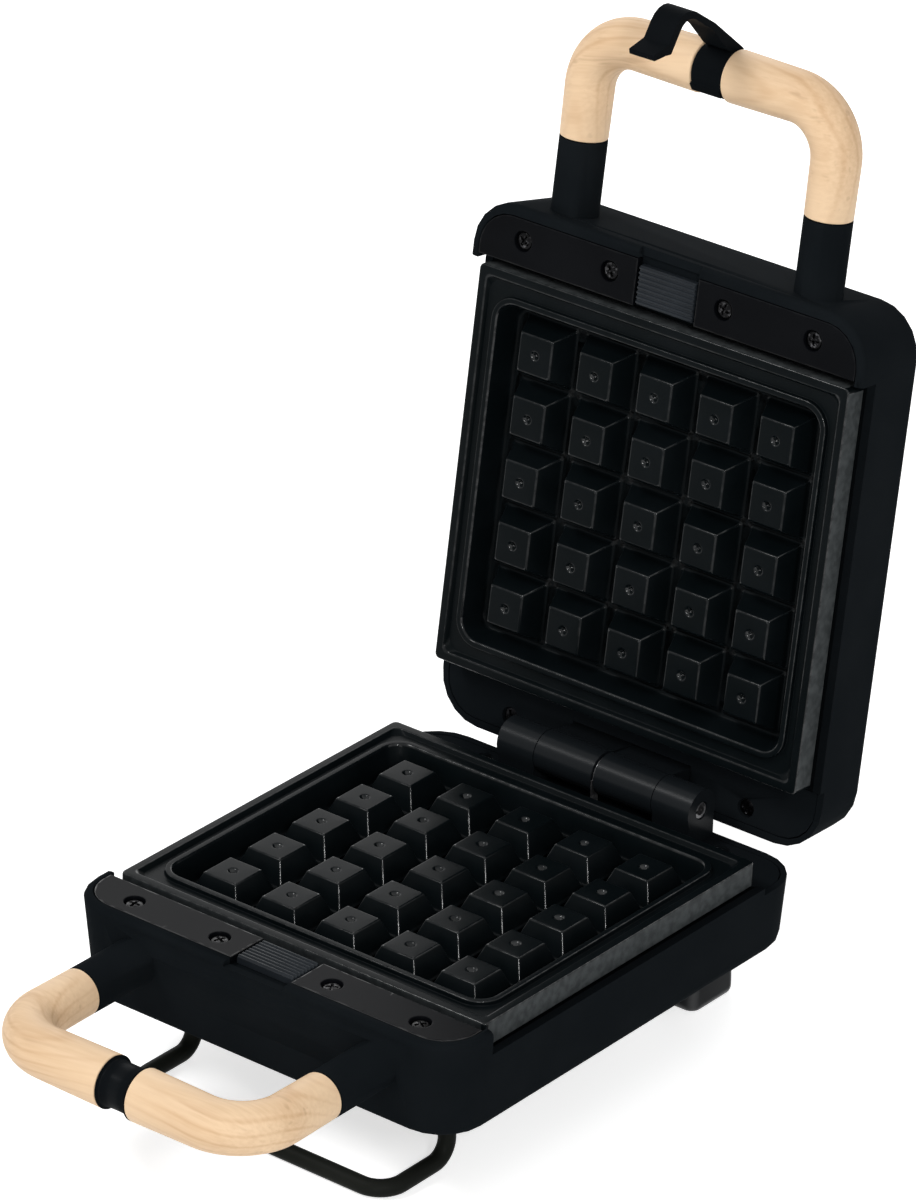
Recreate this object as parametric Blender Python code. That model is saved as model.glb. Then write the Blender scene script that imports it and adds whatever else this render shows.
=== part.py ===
"""Waffle and sandwich maker: two hinged casings with lift-out plates, wooden grips and a latch clip.

Each half is modelled in its own half frame: X to the right, Y from the handle to the hinge, and Z out of
the cooking side, with zero at the top of the plate's rim, in the middle of the plate. The base stands
in that frame. The lid is the same half turned over and swung open about the hinge.
"""

import math

import bmesh
import bpy
from mathutils import Euler, Matrix, Vector

MM = 0.001

# Fits
CLEARANCE = 0.3 * MM
OVERRUN = 1.0 * MM

# Waffle plate
CELLS = 5
PITCH_X = 22.0 * MM
PITCH_Y = 19.9 * MM
BLOCK_TOP = 11.9 * MM
BLOCK_BASE = 18.1 * MM
BLOCK_HEIGHT = 7.5 * MM
BLOCK_SINK = 0.6 * MM
BLOCK_ROUND = 0.9 * MM
CAVITY_MARGIN_X = 5.95 * MM
CAVITY_MARGIN_Y = 4.25 * MM
CAVITY_CORNER = 6.0 * MM
CAVITY_TAPER = 2.2 * MM
BEAD_WIDTH = 2.0 * MM
BEAD_ROUND = 0.5 * MM
GROOVE_WIDTH_X = 3.35 * MM
GROOVE_WIDTH_Y = 4.5 * MM
GROOVE_DEPTH = 1.6 * MM
RIM_WIDTH = 2.9 * MM
RIM_CORNER = 1.0 * MM
RIM_EDGE = 0.3 * MM
SKIRT_HEIGHT = 7.65 * MM
PLATE_WALL = 1.8 * MM
PLATE_FLOOR = 2.4 * MM
LUG_WIDTH = 15.0 * MM
LUG_REACH = 1.4 * MM
LUG_THICKNESS = 0.9 * MM

# Casing
CASE_SIDE_MARGIN = 4.2 * MM
CASE_LIP_FRONT = 3.7 * MM
CASE_LIP_REAR = 3.2 * MM
CASE_DEPTH = 31.4 * MM
CASE_CORNER = 15.0 * MM
CASE_WALL = 2.4 * MM
CASE_EDGE = 2.0 * MM
CASE_FILLET = 3.0 * MM
SEAT_GAP = 1.0 * MM
COVER_INSET = 4.2 * MM
DRAFT_SIDE = 1.8 * MM
DRAFT_FRONT = 2.6 * MM
DRAFT_REAR = 1.8 * MM
REAR_LIP_DROP = 10.0 * MM
SHELF = 2.4 * MM
FLANGE_WIDTH = 4.0 * MM
BULKHEAD = 2.0 * MM
FINGER_NOTCH_DEPTH = 1.6 * MM

# Strips beside the plate
STRIP_GAP_FRONT = 2.7 * MM
STRIP_GAP_REAR = 1.5 * MM
STRIP_DEPTH_FRONT = 14.4 * MM
STRIP_DEPTH_REAR = 17.2 * MM
STRIP_THICKNESS = 2.4 * MM
STRIP_CORNER = 11.5 * MM
STRIP_SIDE_GAP = 3.05 * MM
REAR_STRIP_DROP = 10.2 * MM

# Screws
SCREW_PLACES_X = (20.65 * MM, 52.6 * MM)
SCREW_INSET = 6.6 * MM
REAR_SCREW_X = 44.2 * MM
REAR_SCREW_INSET = 4.6 * MM
HEAD_RADIUS = 2.7 * MM
HEAD_HEIGHT = 0.8 * MM
HEAD_SINK = 0.4 * MM
SHANK_RADIUS = 1.3 * MM
SHANK_LENGTH = 4.6 * MM
CROSS_LENGTH = 3.2 * MM
CROSS_WIDTH = 0.7 * MM
CROSS_DEPTH = 0.5 * MM
COVER_SCREW_LENGTH = 9.0 * MM
COVER_SCREW_INSET_X = 13.0 * MM
COVER_SCREW_INSET_Y = 13.0 * MM
BOSS_RADIUS = 3.6 * MM

# Release button
BUTTON_HALF_WIDTH = 10.2 * MM
BUTTON_FRONT_GAP = 0.8 * MM
BUTTON_DEPTH = 11.8 * MM
BUTTON_PROUD = 0.3 * MM
BUTTON_THICKNESS = 2.4 * MM
BUTTON_SIDE_GAP = 0.8 * MM
BUTTON_TRAVEL = 2.4 * MM
BUTTON_RIBS = 8
RIB_DEPTH = 0.5 * MM
STEM_HALF_WIDTH = 3.0 * MM
STEM_DEPTH = 3.6 * MM
TONGUE_HALF_WIDTH = 6.0 * MM
TONGUE_THICKNESS = 1.0 * MM
SPRING_RADIUS = 1.7 * MM
SPRING_WIRE = 0.25 * MM
SPRING_TURNS = 4
SPRING_POINTS = 8
SPRING_DROP = 9.2 * MM

# Hinge
HINGE_FROM_STRIP = 13.1 * MM
HINGE_Z = 0.05 * MM
CLOSED_GAP = 1.5 * MM
OPEN_ANGLE = math.radians(98.09)
BARREL_RADIUS = 6.7 * MM
INNER_KNUCKLE = 21.85 * MM
OUTER_KNUCKLE = 13.6 * MM
BARREL_MIDDLE = 1.0 * MM
CHEEK_INSET = 0.7 * MM
PIN_RADIUS = 2.5 * MM
PIN_WALL = 0.9 * MM
PIN_SLOT = 1.0 * MM
PIN_SHORT = 0.4 * MM
WASHER_THICKNESS = 0.5 * MM
WASHER_INSET = 0.9 * MM
WASHER_TAB = 3.0 * MM

# Handles
ARM_X = 44.3 * MM
HANDLE_DROP = 12.5 * MM
TUBE_RADIUS = 8.0 * MM
ARM_RADIUS = 7.25 * MM
ARM_LENGTH = 22.0 * MM
BAR_REACH = 54.2 * MM
BEND_RADIUS = 16.0 * MM
RING_OFFSET = 1.0 * MM
RING_WIDTH = 10.4 * MM
RING_WAIST = 1.0 * MM
RING_FLARE = 0.5 * MM
DOWEL_RADIUS = 3.6 * MM
DOWEL_REACH = 11.0 * MM
TENON_RADIUS = 4.0 * MM
TENON_LENGTH = 10.0 * MM

# Latch clip
BAND_RADIUS = 7.5 * MM
CLIP_WIDTH = 8.8 * MM
CLIP_THICKNESS = 2.0 * MM
CLIP_FLOOR = 3.0 * MM
CLIP_LIP = 4.0 * MM
CLIP_STRAIGHT_SHARE = 0.7
CLIP_TAB = 5.0 * MM
CLIP_TAB_THICKNESS = 1.2 * MM
CLIP_BACK_ROUND = 12.0 * MM
CLIP_OUTER_ROUND = 7.0 * MM
CLIP_INNER_ROUND = 5.0 * MM
CLIP_TAB_ROUND = 1.0 * MM
BAND_LIP_WIDTH = 2.6 * MM
BAND_LIP_PROUD = 0.9 * MM
BAND_LIP_ANGLE = math.radians(28.5)
LATCH_SWING = math.radians(26.0)

# Heating parts
ELEMENT_RADIUS = 3.2 * MM
ELEMENT_INSET = 16.0 * MM
ELEMENT_BEND = 14.0 * MM
ELEMENT_TAIL_X = 12.0 * MM
ELEMENT_TAIL_BEND = 7.0 * MM
ELEMENT_TAIL_SETBACK = 18.0 * MM
ELEMENT_TAIL_DROP = 11.0 * MM
TRAY_SHEET = 0.8 * MM
TRAY_RIM = 2.8 * MM
TRAY_CORNER = 5.0 * MM
THERMOSTAT_RADIUS = 7.0 * MM
THERMOSTAT_SHARE = 0.375
THERMOSTAT_X = -24.0 * MM
THERMOSTAT_Y = 0.0
BLADE_THICKNESS = 0.8 * MM
BLADE_WIDTH = 4.0 * MM
BLADE_SHARE = 0.325
BLADE_SPACING = 3.5 * MM
FUSE_RADIUS = 2.2 * MM
FUSE_LENGTH = 14.0 * MM
FUSE_X = 24.0 * MM
LEAD_RADIUS = 0.6 * MM
LEAD_LENGTH = 6.0 * MM

# Stand, feet and cover
STAND_HEIGHT = 56.9 * MM
COVER_THICKNESS = 2.4 * MM
WIRE_RADIUS = 2.65 * MM
WIRE_LEG_X = 47.1 * MM
WIRE_LEG_Y = -53.0 * MM
WIRE_FRONT_Y = -81.0 * MM
WIRE_LEG_BEND = 6.0 * MM
WIRE_CORNER = 9.0 * MM
SOCKET_WALL = 2.2 * MM
SOCKET_DEPTH = 8.0 * MM
FOOT_X = 41.0 * MM
FOOT_Y = 70.2 * MM
FOOT_WIDTH = 16.6 * MM
FOOT_DEPTH = 20.6 * MM
FOOT_CORNER = 3.5 * MM
FOOT_EDGE = 1.0 * MM
PEG_RADIUS = 3.0 * MM
PEG_LENGTH = 1.8 * MM
VENT_LENGTH = 40.0 * MM
VENT_WIDTH = 2.5 * MM
VENT_PITCH = 6.0 * MM
VENTS_EACH_WAY = 3

# Cord gland and terminals
GLAND_X = -46.0 * MM
GLAND_DROP = 22.0 * MM
GLAND_NECK = 4.8 * MM
GLAND_FLANGE = 6.8 * MM
GLAND_BORE = 3.4 * MM
GLAND_THICKNESS = 1.8 * MM
GLAND_CATCH = 1.2 * MM
TERMINAL_X = 0.0
TERMINAL_Y = 44.0 * MM
TERMINAL_WIDTH = 26.0 * MM
TERMINAL_DEPTH = 10.0 * MM
TERMINAL_HEIGHT = 5.0 * MM
TERMINAL_HOLE = 1.4 * MM
TERMINAL_WAYS = 3

# Facets: steps of a quarter arc, sides of a full turn, and added points in each quarter of a round bar
ARC_STEPS = 5
GRIP_STEPS = 10
ELEMENT_STEPS = 4
KNUCKLE_STEPS = 16
ROD_SIDES = 24
SCREW_SIDES = 12
TURNED_SIDES = 24
GRIP_QUARTER_STEPS = 4
WIRE_QUARTER_STEPS = 2
SPRING_QUARTER_STEPS = 1
SMOOTH_ANGLE = math.radians(35.0)

# Places worked out from the sizes above
CAVITY_X = (CELLS - 1) / 2 * PITCH_X + BLOCK_BASE / 2 + CAVITY_MARGIN_X
CAVITY_Y = (CELLS - 1) / 2 * PITCH_Y + BLOCK_BASE / 2 + CAVITY_MARGIN_Y
PLATE_X = CAVITY_X + BEAD_WIDTH + GROOVE_WIDTH_X + RIM_WIDTH
PLATE_Y = CAVITY_Y + BEAD_WIDTH + GROOVE_WIDTH_Y + RIM_WIDTH
CASE_X = PLATE_X + CASE_SIDE_MARGIN
STRIP_X = CASE_X - STRIP_SIDE_GAP
STRIP_BACK = -PLATE_Y - STRIP_GAP_FRONT
STRIP_FRONT = STRIP_BACK - STRIP_DEPTH_FRONT
REAR_STRIP_FRONT = PLATE_Y + STRIP_GAP_REAR
REAR_STRIP_BACK = REAR_STRIP_FRONT + STRIP_DEPTH_REAR
CASE_FRONT = STRIP_FRONT - CASE_LIP_FRONT
CASE_BACK = REAR_STRIP_BACK + CASE_LIP_REAR
SHELF_TOP = -STRIP_THICKNESS - CLEARANCE
FLANGE_TOP = -SKIRT_HEIGHT - CLEARANCE
REAR_SHELF_TOP = -REAR_STRIP_DROP - STRIP_THICKNESS - CLEARANCE
HINGE_Y = REAR_STRIP_FRONT + HINGE_FROM_STRIP
BUTTON_BACK = STRIP_BACK - BUTTON_FRONT_GAP
BUTTON_FRONT = BUTTON_BACK - BUTTON_DEPTH
STEM_BACK = BUTTON_BACK - BUTTON_TRAVEL
STEM_FRONT = STEM_BACK - STEM_DEPTH
FLOOR_TOP = -BLOCK_SINK - BLOCK_HEIGHT
PLATE_UNDERSIDE = FLOOR_TOP - PLATE_FLOOR
ELEMENT_Z = PLATE_UNDERSIDE - CLEARANCE - ELEMENT_RADIUS
TRAY_FLOOR_TOP = ELEMENT_Z - ELEMENT_RADIUS - CLEARANCE
TRAY_FLOOR_BOTTOM = TRAY_FLOOR_TOP - TRAY_SHEET
FLANGE_BOTTOM = FLANGE_TOP - SHELF
BAR_Y = CASE_FRONT - BAR_REACH
ARM_END = CASE_FRONT - ARM_LENGTH
CLOSED_BARS = 2 * HANDLE_DROP + CLOSED_GAP
COVER_BOTTOM = -CASE_DEPTH
COVER_TOP = COVER_BOTTOM + COVER_THICKNESS


def frame_back():
    """Rearmost Y of the open lid: the fillet under the handle side of its casing, turned about the hinge."""
    along = HINGE_Y - (CASE_FRONT + DRAFT_FRONT + CASE_FILLET)
    out = CASE_DEPTH - CASE_FILLET + CLOSED_GAP - HINGE_Z
    beyond = OPEN_ANGLE - math.pi / 2
    return HINGE_Y + along * math.sin(beyond) + out * math.cos(beyond) + CASE_FILLET


FRAME_FRONT = BAR_Y - TUBE_RADIUS
FRAME_MIDDLE = (FRAME_FRONT + frame_back()) / 2


def clear_scene():
    for item in list(bpy.data.objects):
        bpy.data.objects.remove(item)


def finish_material(name, colour, roughness, metallic=0.0):
    material = bpy.data.materials.new(name)
    material.use_nodes = True
    shader = material.node_tree.nodes["Principled BSDF"]
    shader.inputs["Base Color"].default_value = (*colour, 1.0)
    shader.inputs["Roughness"].default_value = roughness
    shader.inputs["Metallic"].default_value = metallic
    return material


def empty(name, parent=None, location=(0, 0, 0), rotation=(0, 0, 0)):
    item = bpy.data.objects.new(name, None)
    bpy.context.collection.objects.link(item)
    item.parent = parent
    item.location = location
    item.rotation_euler = rotation
    return item


def node(name, mesh, look, parent, location=(0, 0, 0), rotation=(0, 0, 0)):
    """One piece of the object, with its own material."""
    mesh = mesh.copy()
    mesh.name = name
    mesh.materials.clear()
    mesh.materials.append(finish_material(name, *look))
    mesh.shade_smooth()
    mesh.set_sharp_from_angle(angle=SMOOTH_ANGLE)
    item = bpy.data.objects.new(name, mesh)
    bpy.context.collection.objects.link(item)
    item.parent = parent
    item.location = location
    item.rotation_euler = rotation
    return item


def mesh_of(shape):
    bmesh.ops.recalc_face_normals(shape, faces=shape.faces)
    mesh = bpy.data.meshes.new("shape")
    shape.to_mesh(mesh)
    shape.free()
    return mesh


def combine(operation, target, *tools):
    """Mesh of the target after a Boolean with each tool in turn."""
    holder = bpy.data.objects.new("holder", target)
    bpy.context.collection.objects.link(holder)
    helpers = [holder]
    for tool in tools:
        helper = bpy.data.objects.new("tool", tool)
        bpy.context.collection.objects.link(helper)
        helpers.append(helper)
        modifier = holder.modifiers.new("boolean", "BOOLEAN")
        modifier.operation = operation
        modifier.solver = "EXACT"
        modifier.object = helper
    bpy.context.view_layer.update()
    depsgraph = bpy.context.evaluated_depsgraph_get()
    result = bpy.data.meshes.new_from_object(holder.evaluated_get(depsgraph))
    for helper in helpers:
        bpy.data.objects.remove(helper)
    return result


def join(target, *tools):
    return combine("UNION", target, *tools)


def cut(target, *tools):
    return combine("DIFFERENCE", target, *tools)


def block(x0, x1, y0, y1, z0, z1):
    shape = bmesh.new()
    size = Matrix.Diagonal((x1 - x0, y1 - y0, z1 - z0, 1))
    middle = Matrix.Translation(((x0 + x1) / 2, (y0 + y1) / 2, (z0 + z1) / 2))
    bmesh.ops.create_cube(shape, size=1, matrix=middle @ size)
    return mesh_of(shape)


def rod(radius, start, end, sides=ROD_SIDES):
    shape = bmesh.new()
    start, end = Vector(start), Vector(end)
    turn = (end - start).to_track_quat("Z", "Y").to_matrix().to_4x4()
    place = Matrix.Translation((start + end) / 2) @ turn
    bmesh.ops.create_cone(shape, cap_ends=True, segments=sides, radius1=radius, radius2=radius,
                          depth=(end - start).length, matrix=place)
    return mesh_of(shape)


def rounded(x0, x1, y0, y1, *corners, steps=ARC_STEPS):
    """Outline of a rectangle with its corners rounded, from the low X, low Y one anticlockwise."""
    radii = corners * 4 if len(corners) == 1 else corners
    centres = ((x0, y0, 1, 1), (x1, y0, -1, 1), (x1, y1, -1, -1), (x0, y1, 1, -1))
    outline = []
    for index, ((x, y, inward_x, inward_y), radius) in enumerate(zip(centres, radii)):
        for step in range(steps + 1):
            angle = math.radians(180 + 90 * (index + step / steps))
            outline.append((x + inward_x * radius + radius * math.cos(angle),
                            y + inward_y * radius + radius * math.sin(angle)))
    return outline


def loft(rings, closed=False):
    """Solid through rings of points: capped at both ends, or closed into a loop."""
    shape = bmesh.new()
    rows = [[shape.verts.new(point) for point in ring] for ring in rings]
    pairs = list(zip(rows, rows[1:]))
    if closed:
        pairs.append((rows[-1], rows[0]))
    else:
        shape.faces.new(rows[0])
        shape.faces.new(rows[-1])
    for low, high in pairs:
        for index in range(len(low)):
            following = (index + 1) % len(low)
            shape.faces.new((low[index], low[following], high[following], high[index]))
    bmesh.ops.remove_doubles(shape, verts=shape.verts, dist=CLEARANCE / 100)
    return mesh_of(shape)


def level(outline, z):
    return [(x, y, z) for x, y in outline]


def prism(outline, z0, z1):
    return loft([level(outline, z0), level(outline, z1)])


def slab(outline, x0, x1):
    """Solid between two X places of an outline given as (y, z) points."""
    return loft([[(x, y, z) for y, z in outline] for x in (x0, x1)])


def turned(stations, sides=TURNED_SIDES, closed=False):
    """Solid turned about the X axis through (x, radius) stations."""
    angles = [math.tau * index / sides for index in range(sides)]
    return loft([[(x, radius * math.cos(a), radius * math.sin(a)) for a in angles]
                 for x, radius in stations], closed)


def moved(mesh, location=(0, 0, 0), rotation=(0, 0, 0)):
    mesh.transform(Matrix.Translation(location) @ Euler(rotation).to_matrix().to_4x4())
    return mesh


def swept(points, radius, quarter_steps, start_radius=None):
    """Round bar along a chain of points, with flat ends. It may start at another radius and widen evenly."""
    curve = bpy.data.curves.new("path", "CURVE")
    curve.dimensions = "3D"
    curve.bevel_depth = radius
    curve.bevel_resolution = quarter_steps
    curve.use_fill_caps = True
    line = curve.splines.new("POLY")
    line.points.add(len(points) - 1)
    start = 1 if start_radius is None else start_radius / radius
    for index, (place, point) in enumerate(zip(line.points, points)):
        place.co = (*point, 1)
        place.radius = start + (1 - start) * index / (len(points) - 1)
    holder = bpy.data.objects.new("path", curve)
    bpy.context.collection.objects.link(holder)
    bpy.context.view_layer.update()
    mesh = bpy.data.meshes.new_from_object(holder.evaluated_get(bpy.context.evaluated_depsgraph_get()))
    bpy.data.objects.remove(holder)
    shape = bmesh.new()
    shape.from_mesh(mesh)
    bmesh.ops.remove_doubles(shape, verts=shape.verts, dist=CLEARANCE / 100)
    return mesh_of(shape)


def bent(corners, radii, steps=ARC_STEPS):
    """Points of a path through corners, each rounded with its radius."""
    places = [Vector(corner) for corner in corners]
    points = [places[0]]
    for before, corner, after, radius in zip(places, places[1:], places[2:], radii):
        inward, outward = (before - corner).normalized(), (after - corner).normalized()
        half = inward.angle(outward) / 2
        middle = corner + (inward + outward).normalized() * radius / math.sin(half)
        first, last = corner + inward * radius / math.tan(half), corner + outward * radius / math.tan(half)
        for step in range(steps + 1):
            arm = (first - middle).normalized().slerp((last - middle).normalized(), step / steps)
            points.append(middle + radius * arm)
    points.append(places[-1])
    return points


def case_outline(z, inset=0.0):
    """Plan of the casing at a height, drawn in by its draft and by an inset."""
    share = min(max(-z / CASE_DEPTH, 0.0), 1.0)
    side = CASE_X - DRAFT_SIDE * share - inset
    front = CASE_FRONT + DRAFT_FRONT * share + inset
    back = CASE_BACK - DRAFT_REAR * share - inset
    return rounded(-side, side, front, back, CASE_CORNER - inset)


def case_ring(z, inset=0.0):
    return level(case_outline(z, inset), z)


def case_block():
    """Outer body of a casing: rounded top edge, drafted walls and a fillet at the bottom."""
    rings = []
    for step in range(ARC_STEPS - 1):
        angle = math.radians(90 * step / (ARC_STEPS - 2))
        rings.append(case_ring(-CASE_EDGE * (1 - math.cos(angle)), CASE_EDGE * (1 - math.sin(angle))))
    for step in range(ARC_STEPS):
        angle = math.radians(90 * step / (ARC_STEPS - 1))
        drop = CASE_DEPTH - CASE_FILLET * (1 - math.sin(angle))
        rings.append(case_ring(-drop, CASE_FILLET * (1 - math.cos(angle))))
    return loft(rings)


def room_ring(z, step, back=None):
    """Inside outline of the walls at a height, where each step up leaves them a little thicker."""
    share = min(max(-z / CASE_DEPTH, 0.0), 1.0)
    wall = CASE_WALL + step * CLEARANCE
    side = CASE_X - DRAFT_SIDE * share - wall
    front = CASE_FRONT + DRAFT_FRONT * share + wall
    corner = CASE_CORNER - wall
    back_corner = corner if back is None else CLEARANCE
    if back is None:
        back = CASE_BACK - DRAFT_REAR * share - wall
    return level(rounded(-side, side, front, back, corner, corner, back_corner, back_corner), z)


def strip_screw_places():
    y = STRIP_FRONT + SCREW_INSET
    return [(sign * x, y) for sign in (-1, 1) for x in SCREW_PLACES_X]


def rear_screw_places():
    y = REAR_STRIP_BACK - REAR_SCREW_INSET
    return [(-REAR_SCREW_X, y), (REAR_SCREW_X, y)]


def cover_screw_places():
    side = CASE_X - COVER_SCREW_INSET_X
    ends = (CASE_FRONT + COVER_SCREW_INSET_Y, CASE_BACK - COVER_SCREW_INSET_Y)
    return [(sign * side, y) for y in ends for sign in (-1, 1)]


def holes(places, radius, z0, z1):
    return [rod(radius, (x, y, z0), (x, y, z1), SCREW_SIDES) for x, y in places]


def knuckles(inner):
    """X spans of the two inner or the two outer knuckles, in the base's half frame."""
    if inner:
        near, far = WASHER_THICKNESS / 2 + CLEARANCE, INNER_KNUCKLE
    else:
        near, far = INNER_KNUCKLE + CLEARANCE, INNER_KNUCKLE + CLEARANCE + OUTER_KNUCKLE
    return [(BARREL_MIDDLE - far, BARREL_MIDDLE - near), (BARREL_MIDDLE + near, BARREL_MIDDLE + far)]


def knuckle(x0, x1, hinge_z):
    """Barrel piece with flat cheeks down into the rear shelf."""
    reach = BARREL_RADIUS - CHEEK_INSET
    foot = REAR_SHELF_TOP - SHELF / 2
    start = -math.acos(reach / BARREL_RADIUS)
    sweep = math.pi - 2 * start
    outline = [(HINGE_Y - reach, foot), (HINGE_Y + reach, foot)]
    for step in range(KNUCKLE_STEPS + 1):
        angle = start + sweep * step / KNUCKLE_STEPS
        outline.append((HINGE_Y + BARREL_RADIUS * math.cos(angle), hinge_z + BARREL_RADIUS * math.sin(angle)))
    return slab(outline, x0, x1)


def casing(spans, hinge_z, open_bottom):
    """One casing with its shelves, bosses, handle arms and hinge knuckles."""
    side = CASE_X + OVERRUN
    bulkhead_back = STRIP_BACK + CLEARANCE
    bulkhead_front = bulkhead_back - BULKHEAD
    rear_bulkhead_front = PLATE_Y + CLEARANCE - BULKHEAD
    floor = COVER_TOP if open_bottom else -CASE_DEPTH + CASE_WALL
    shelf_bottom = SHELF_TOP - SHELF
    rear_shelf_bottom = REAR_SHELF_TOP - SHELF
    room = loft([
        room_ring(floor, 0),
        room_ring(rear_shelf_bottom, 0),
        room_ring(rear_shelf_bottom, 1, rear_bulkhead_front),
        room_ring(FLANGE_BOTTOM, 1, rear_bulkhead_front),
        room_ring(FLANGE_BOTTOM, 2, bulkhead_front),
        room_ring(shelf_bottom, 2, bulkhead_front),
    ])
    body = cut(case_block(), room)
    if open_bottom:
        body = cut(body, prism(rounded(*cover_box(0.0), CASE_CORNER - COVER_INSET),
                               COVER_BOTTOM - OVERRUN, COVER_TOP + OVERRUN))

    window_x, window_y = PLATE_X - FLANGE_WIDTH, PLATE_Y - FLANGE_WIDTH
    seat_x = PLATE_X + SEAT_GAP
    strip_side = STRIP_X + CLEARANCE
    notch_half = BUTTON_HALF_WIDTH + BUTTON_SIDE_GAP
    stem_half = STEM_HALF_WIDTH + CLEARANCE
    tongue_half = TONGUE_HALF_WIDTH + CLEARANCE
    body = cut(
        body,
        block(-side, side, STRIP_BACK + STRIP_GAP_FRONT / 2, CASE_BACK + OVERRUN, -SKIRT_HEIGHT, OVERRUN),
        block(-side, side, PLATE_Y + CLEARANCE, CASE_BACK + OVERRUN, -REAR_LIP_DROP, OVERRUN),
        block(-seat_x, seat_x, bulkhead_back, PLATE_Y + CLEARANCE, FLANGE_TOP, OVERRUN),
        block(-window_x, window_x, -window_y, window_y, FLANGE_BOTTOM - OVERRUN, OVERRUN),
        prism(rounded(-strip_side, strip_side, STRIP_FRONT - CLEARANCE, bulkhead_back + OVERRUN,
                      STRIP_CORNER, STRIP_CORNER, CLEARANCE, CLEARANCE), SHELF_TOP, OVERRUN),
        prism(rounded(-strip_side, strip_side, PLATE_Y + CLEARANCE, REAR_STRIP_BACK + CLEARANCE,
                      CLEARANCE, CLEARANCE, STRIP_CORNER, STRIP_CORNER), REAR_SHELF_TOP, OVERRUN),
        block(-notch_half, notch_half, CASE_FRONT - OVERRUN, STRIP_FRONT, -FINGER_NOTCH_DEPTH, OVERRUN),
        block(-notch_half, notch_half, BUTTON_FRONT - BUTTON_TRAVEL - CLEARANCE, STRIP_FRONT,
              SHELF_TOP, OVERRUN),
        block(-stem_half, stem_half, STEM_FRONT - BUTTON_TRAVEL - CLEARANCE, STEM_BACK + CLEARANCE,
              shelf_bottom - OVERRUN, OVERRUN),
        block(-tongue_half, tongue_half, bulkhead_front - OVERRUN, bulkhead_back + OVERRUN,
              FLANGE_TOP, shelf_bottom),
        *holes(strip_screw_places(), SHANK_RADIUS + CLEARANCE, shelf_bottom - OVERRUN, OVERRUN),
        *holes(rear_screw_places(), SHANK_RADIUS + CLEARANCE, rear_shelf_bottom - OVERRUN, OVERRUN),
    )

    additions = [knuckle(x0, x1, hinge_z) for x0, x1 in spans]
    for x in (-ARM_X, ARM_X):
        arm_start = CASE_FRONT + CASE_WALL
        additions.append(rod(ARM_RADIUS, (x, arm_start, -HANDLE_DROP), (x, ARM_END, -HANDLE_DROP)))
        additions.append(rod(TENON_RADIUS, (x, ARM_END + OVERRUN, -HANDLE_DROP),
                             (x, ARM_END - TENON_LENGTH, -HANDLE_DROP)))
    if open_bottom:
        for x, y in cover_screw_places():
            top = shelf_bottom if y < 0 else rear_shelf_bottom
            additions.append(rod(BOSS_RADIUS, (x, y, COVER_TOP + CLEARANCE), (x, y, top + SHELF / 2),
                                 SCREW_SIDES))
    body = join(body, *additions)

    bores = [rod(PIN_RADIUS + CLEARANCE, (x0 - OVERRUN, HINGE_Y, hinge_z), (x1 + OVERRUN, HINGE_Y, hinge_z))
             for x0, x1 in spans]
    if open_bottom:
        bores += holes(cover_screw_places(), SHANK_RADIUS + CLEARANCE, COVER_BOTTOM,
                       COVER_BOTTOM + HEAD_SINK + HEAD_HEIGHT + COVER_SCREW_LENGTH + CLEARANCE)
        bores.append(gland_placed(rod(GLAND_NECK + CLEARANCE, (-2 * CASE_WALL, 0, 0), (2 * CASE_WALL, 0, 0))))
    return cut(body, *bores)


def gland_placed(mesh):
    """Shape made about the X axis, set square to the drafted rear wall where the cord leaves."""
    share = GLAND_DROP / CASE_DEPTH
    mesh = moved(mesh, rotation=(0, 0, math.pi / 2))
    place = (GLAND_X, CASE_BACK - DRAFT_REAR * share, -GLAND_DROP)
    return moved(mesh, place, (-math.atan2(DRAFT_REAR, CASE_DEPTH), 0, 0))


def waffle_block(x, y):
    slope = (BLOCK_BASE - BLOCK_TOP) / BLOCK_HEIGHT
    rings = []
    for z, width in ((FLOOR_TOP - OVERRUN, BLOCK_BASE + slope * OVERRUN),
                     (-BLOCK_SINK - BLOCK_ROUND, BLOCK_TOP + slope * BLOCK_ROUND),
                     (-BLOCK_SINK, BLOCK_TOP - BLOCK_ROUND)):
        half = width / 2
        rings.append(level(rounded(x - half, x + half, y - half, y + half, BLOCK_ROUND, steps=1), z))
    return loft(rings)


def gathered(meshes):
    """Shapes that don't touch, in one mesh."""
    shape = bmesh.new()
    for mesh in meshes:
        shape.from_mesh(mesh)
    return mesh_of(shape)


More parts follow.
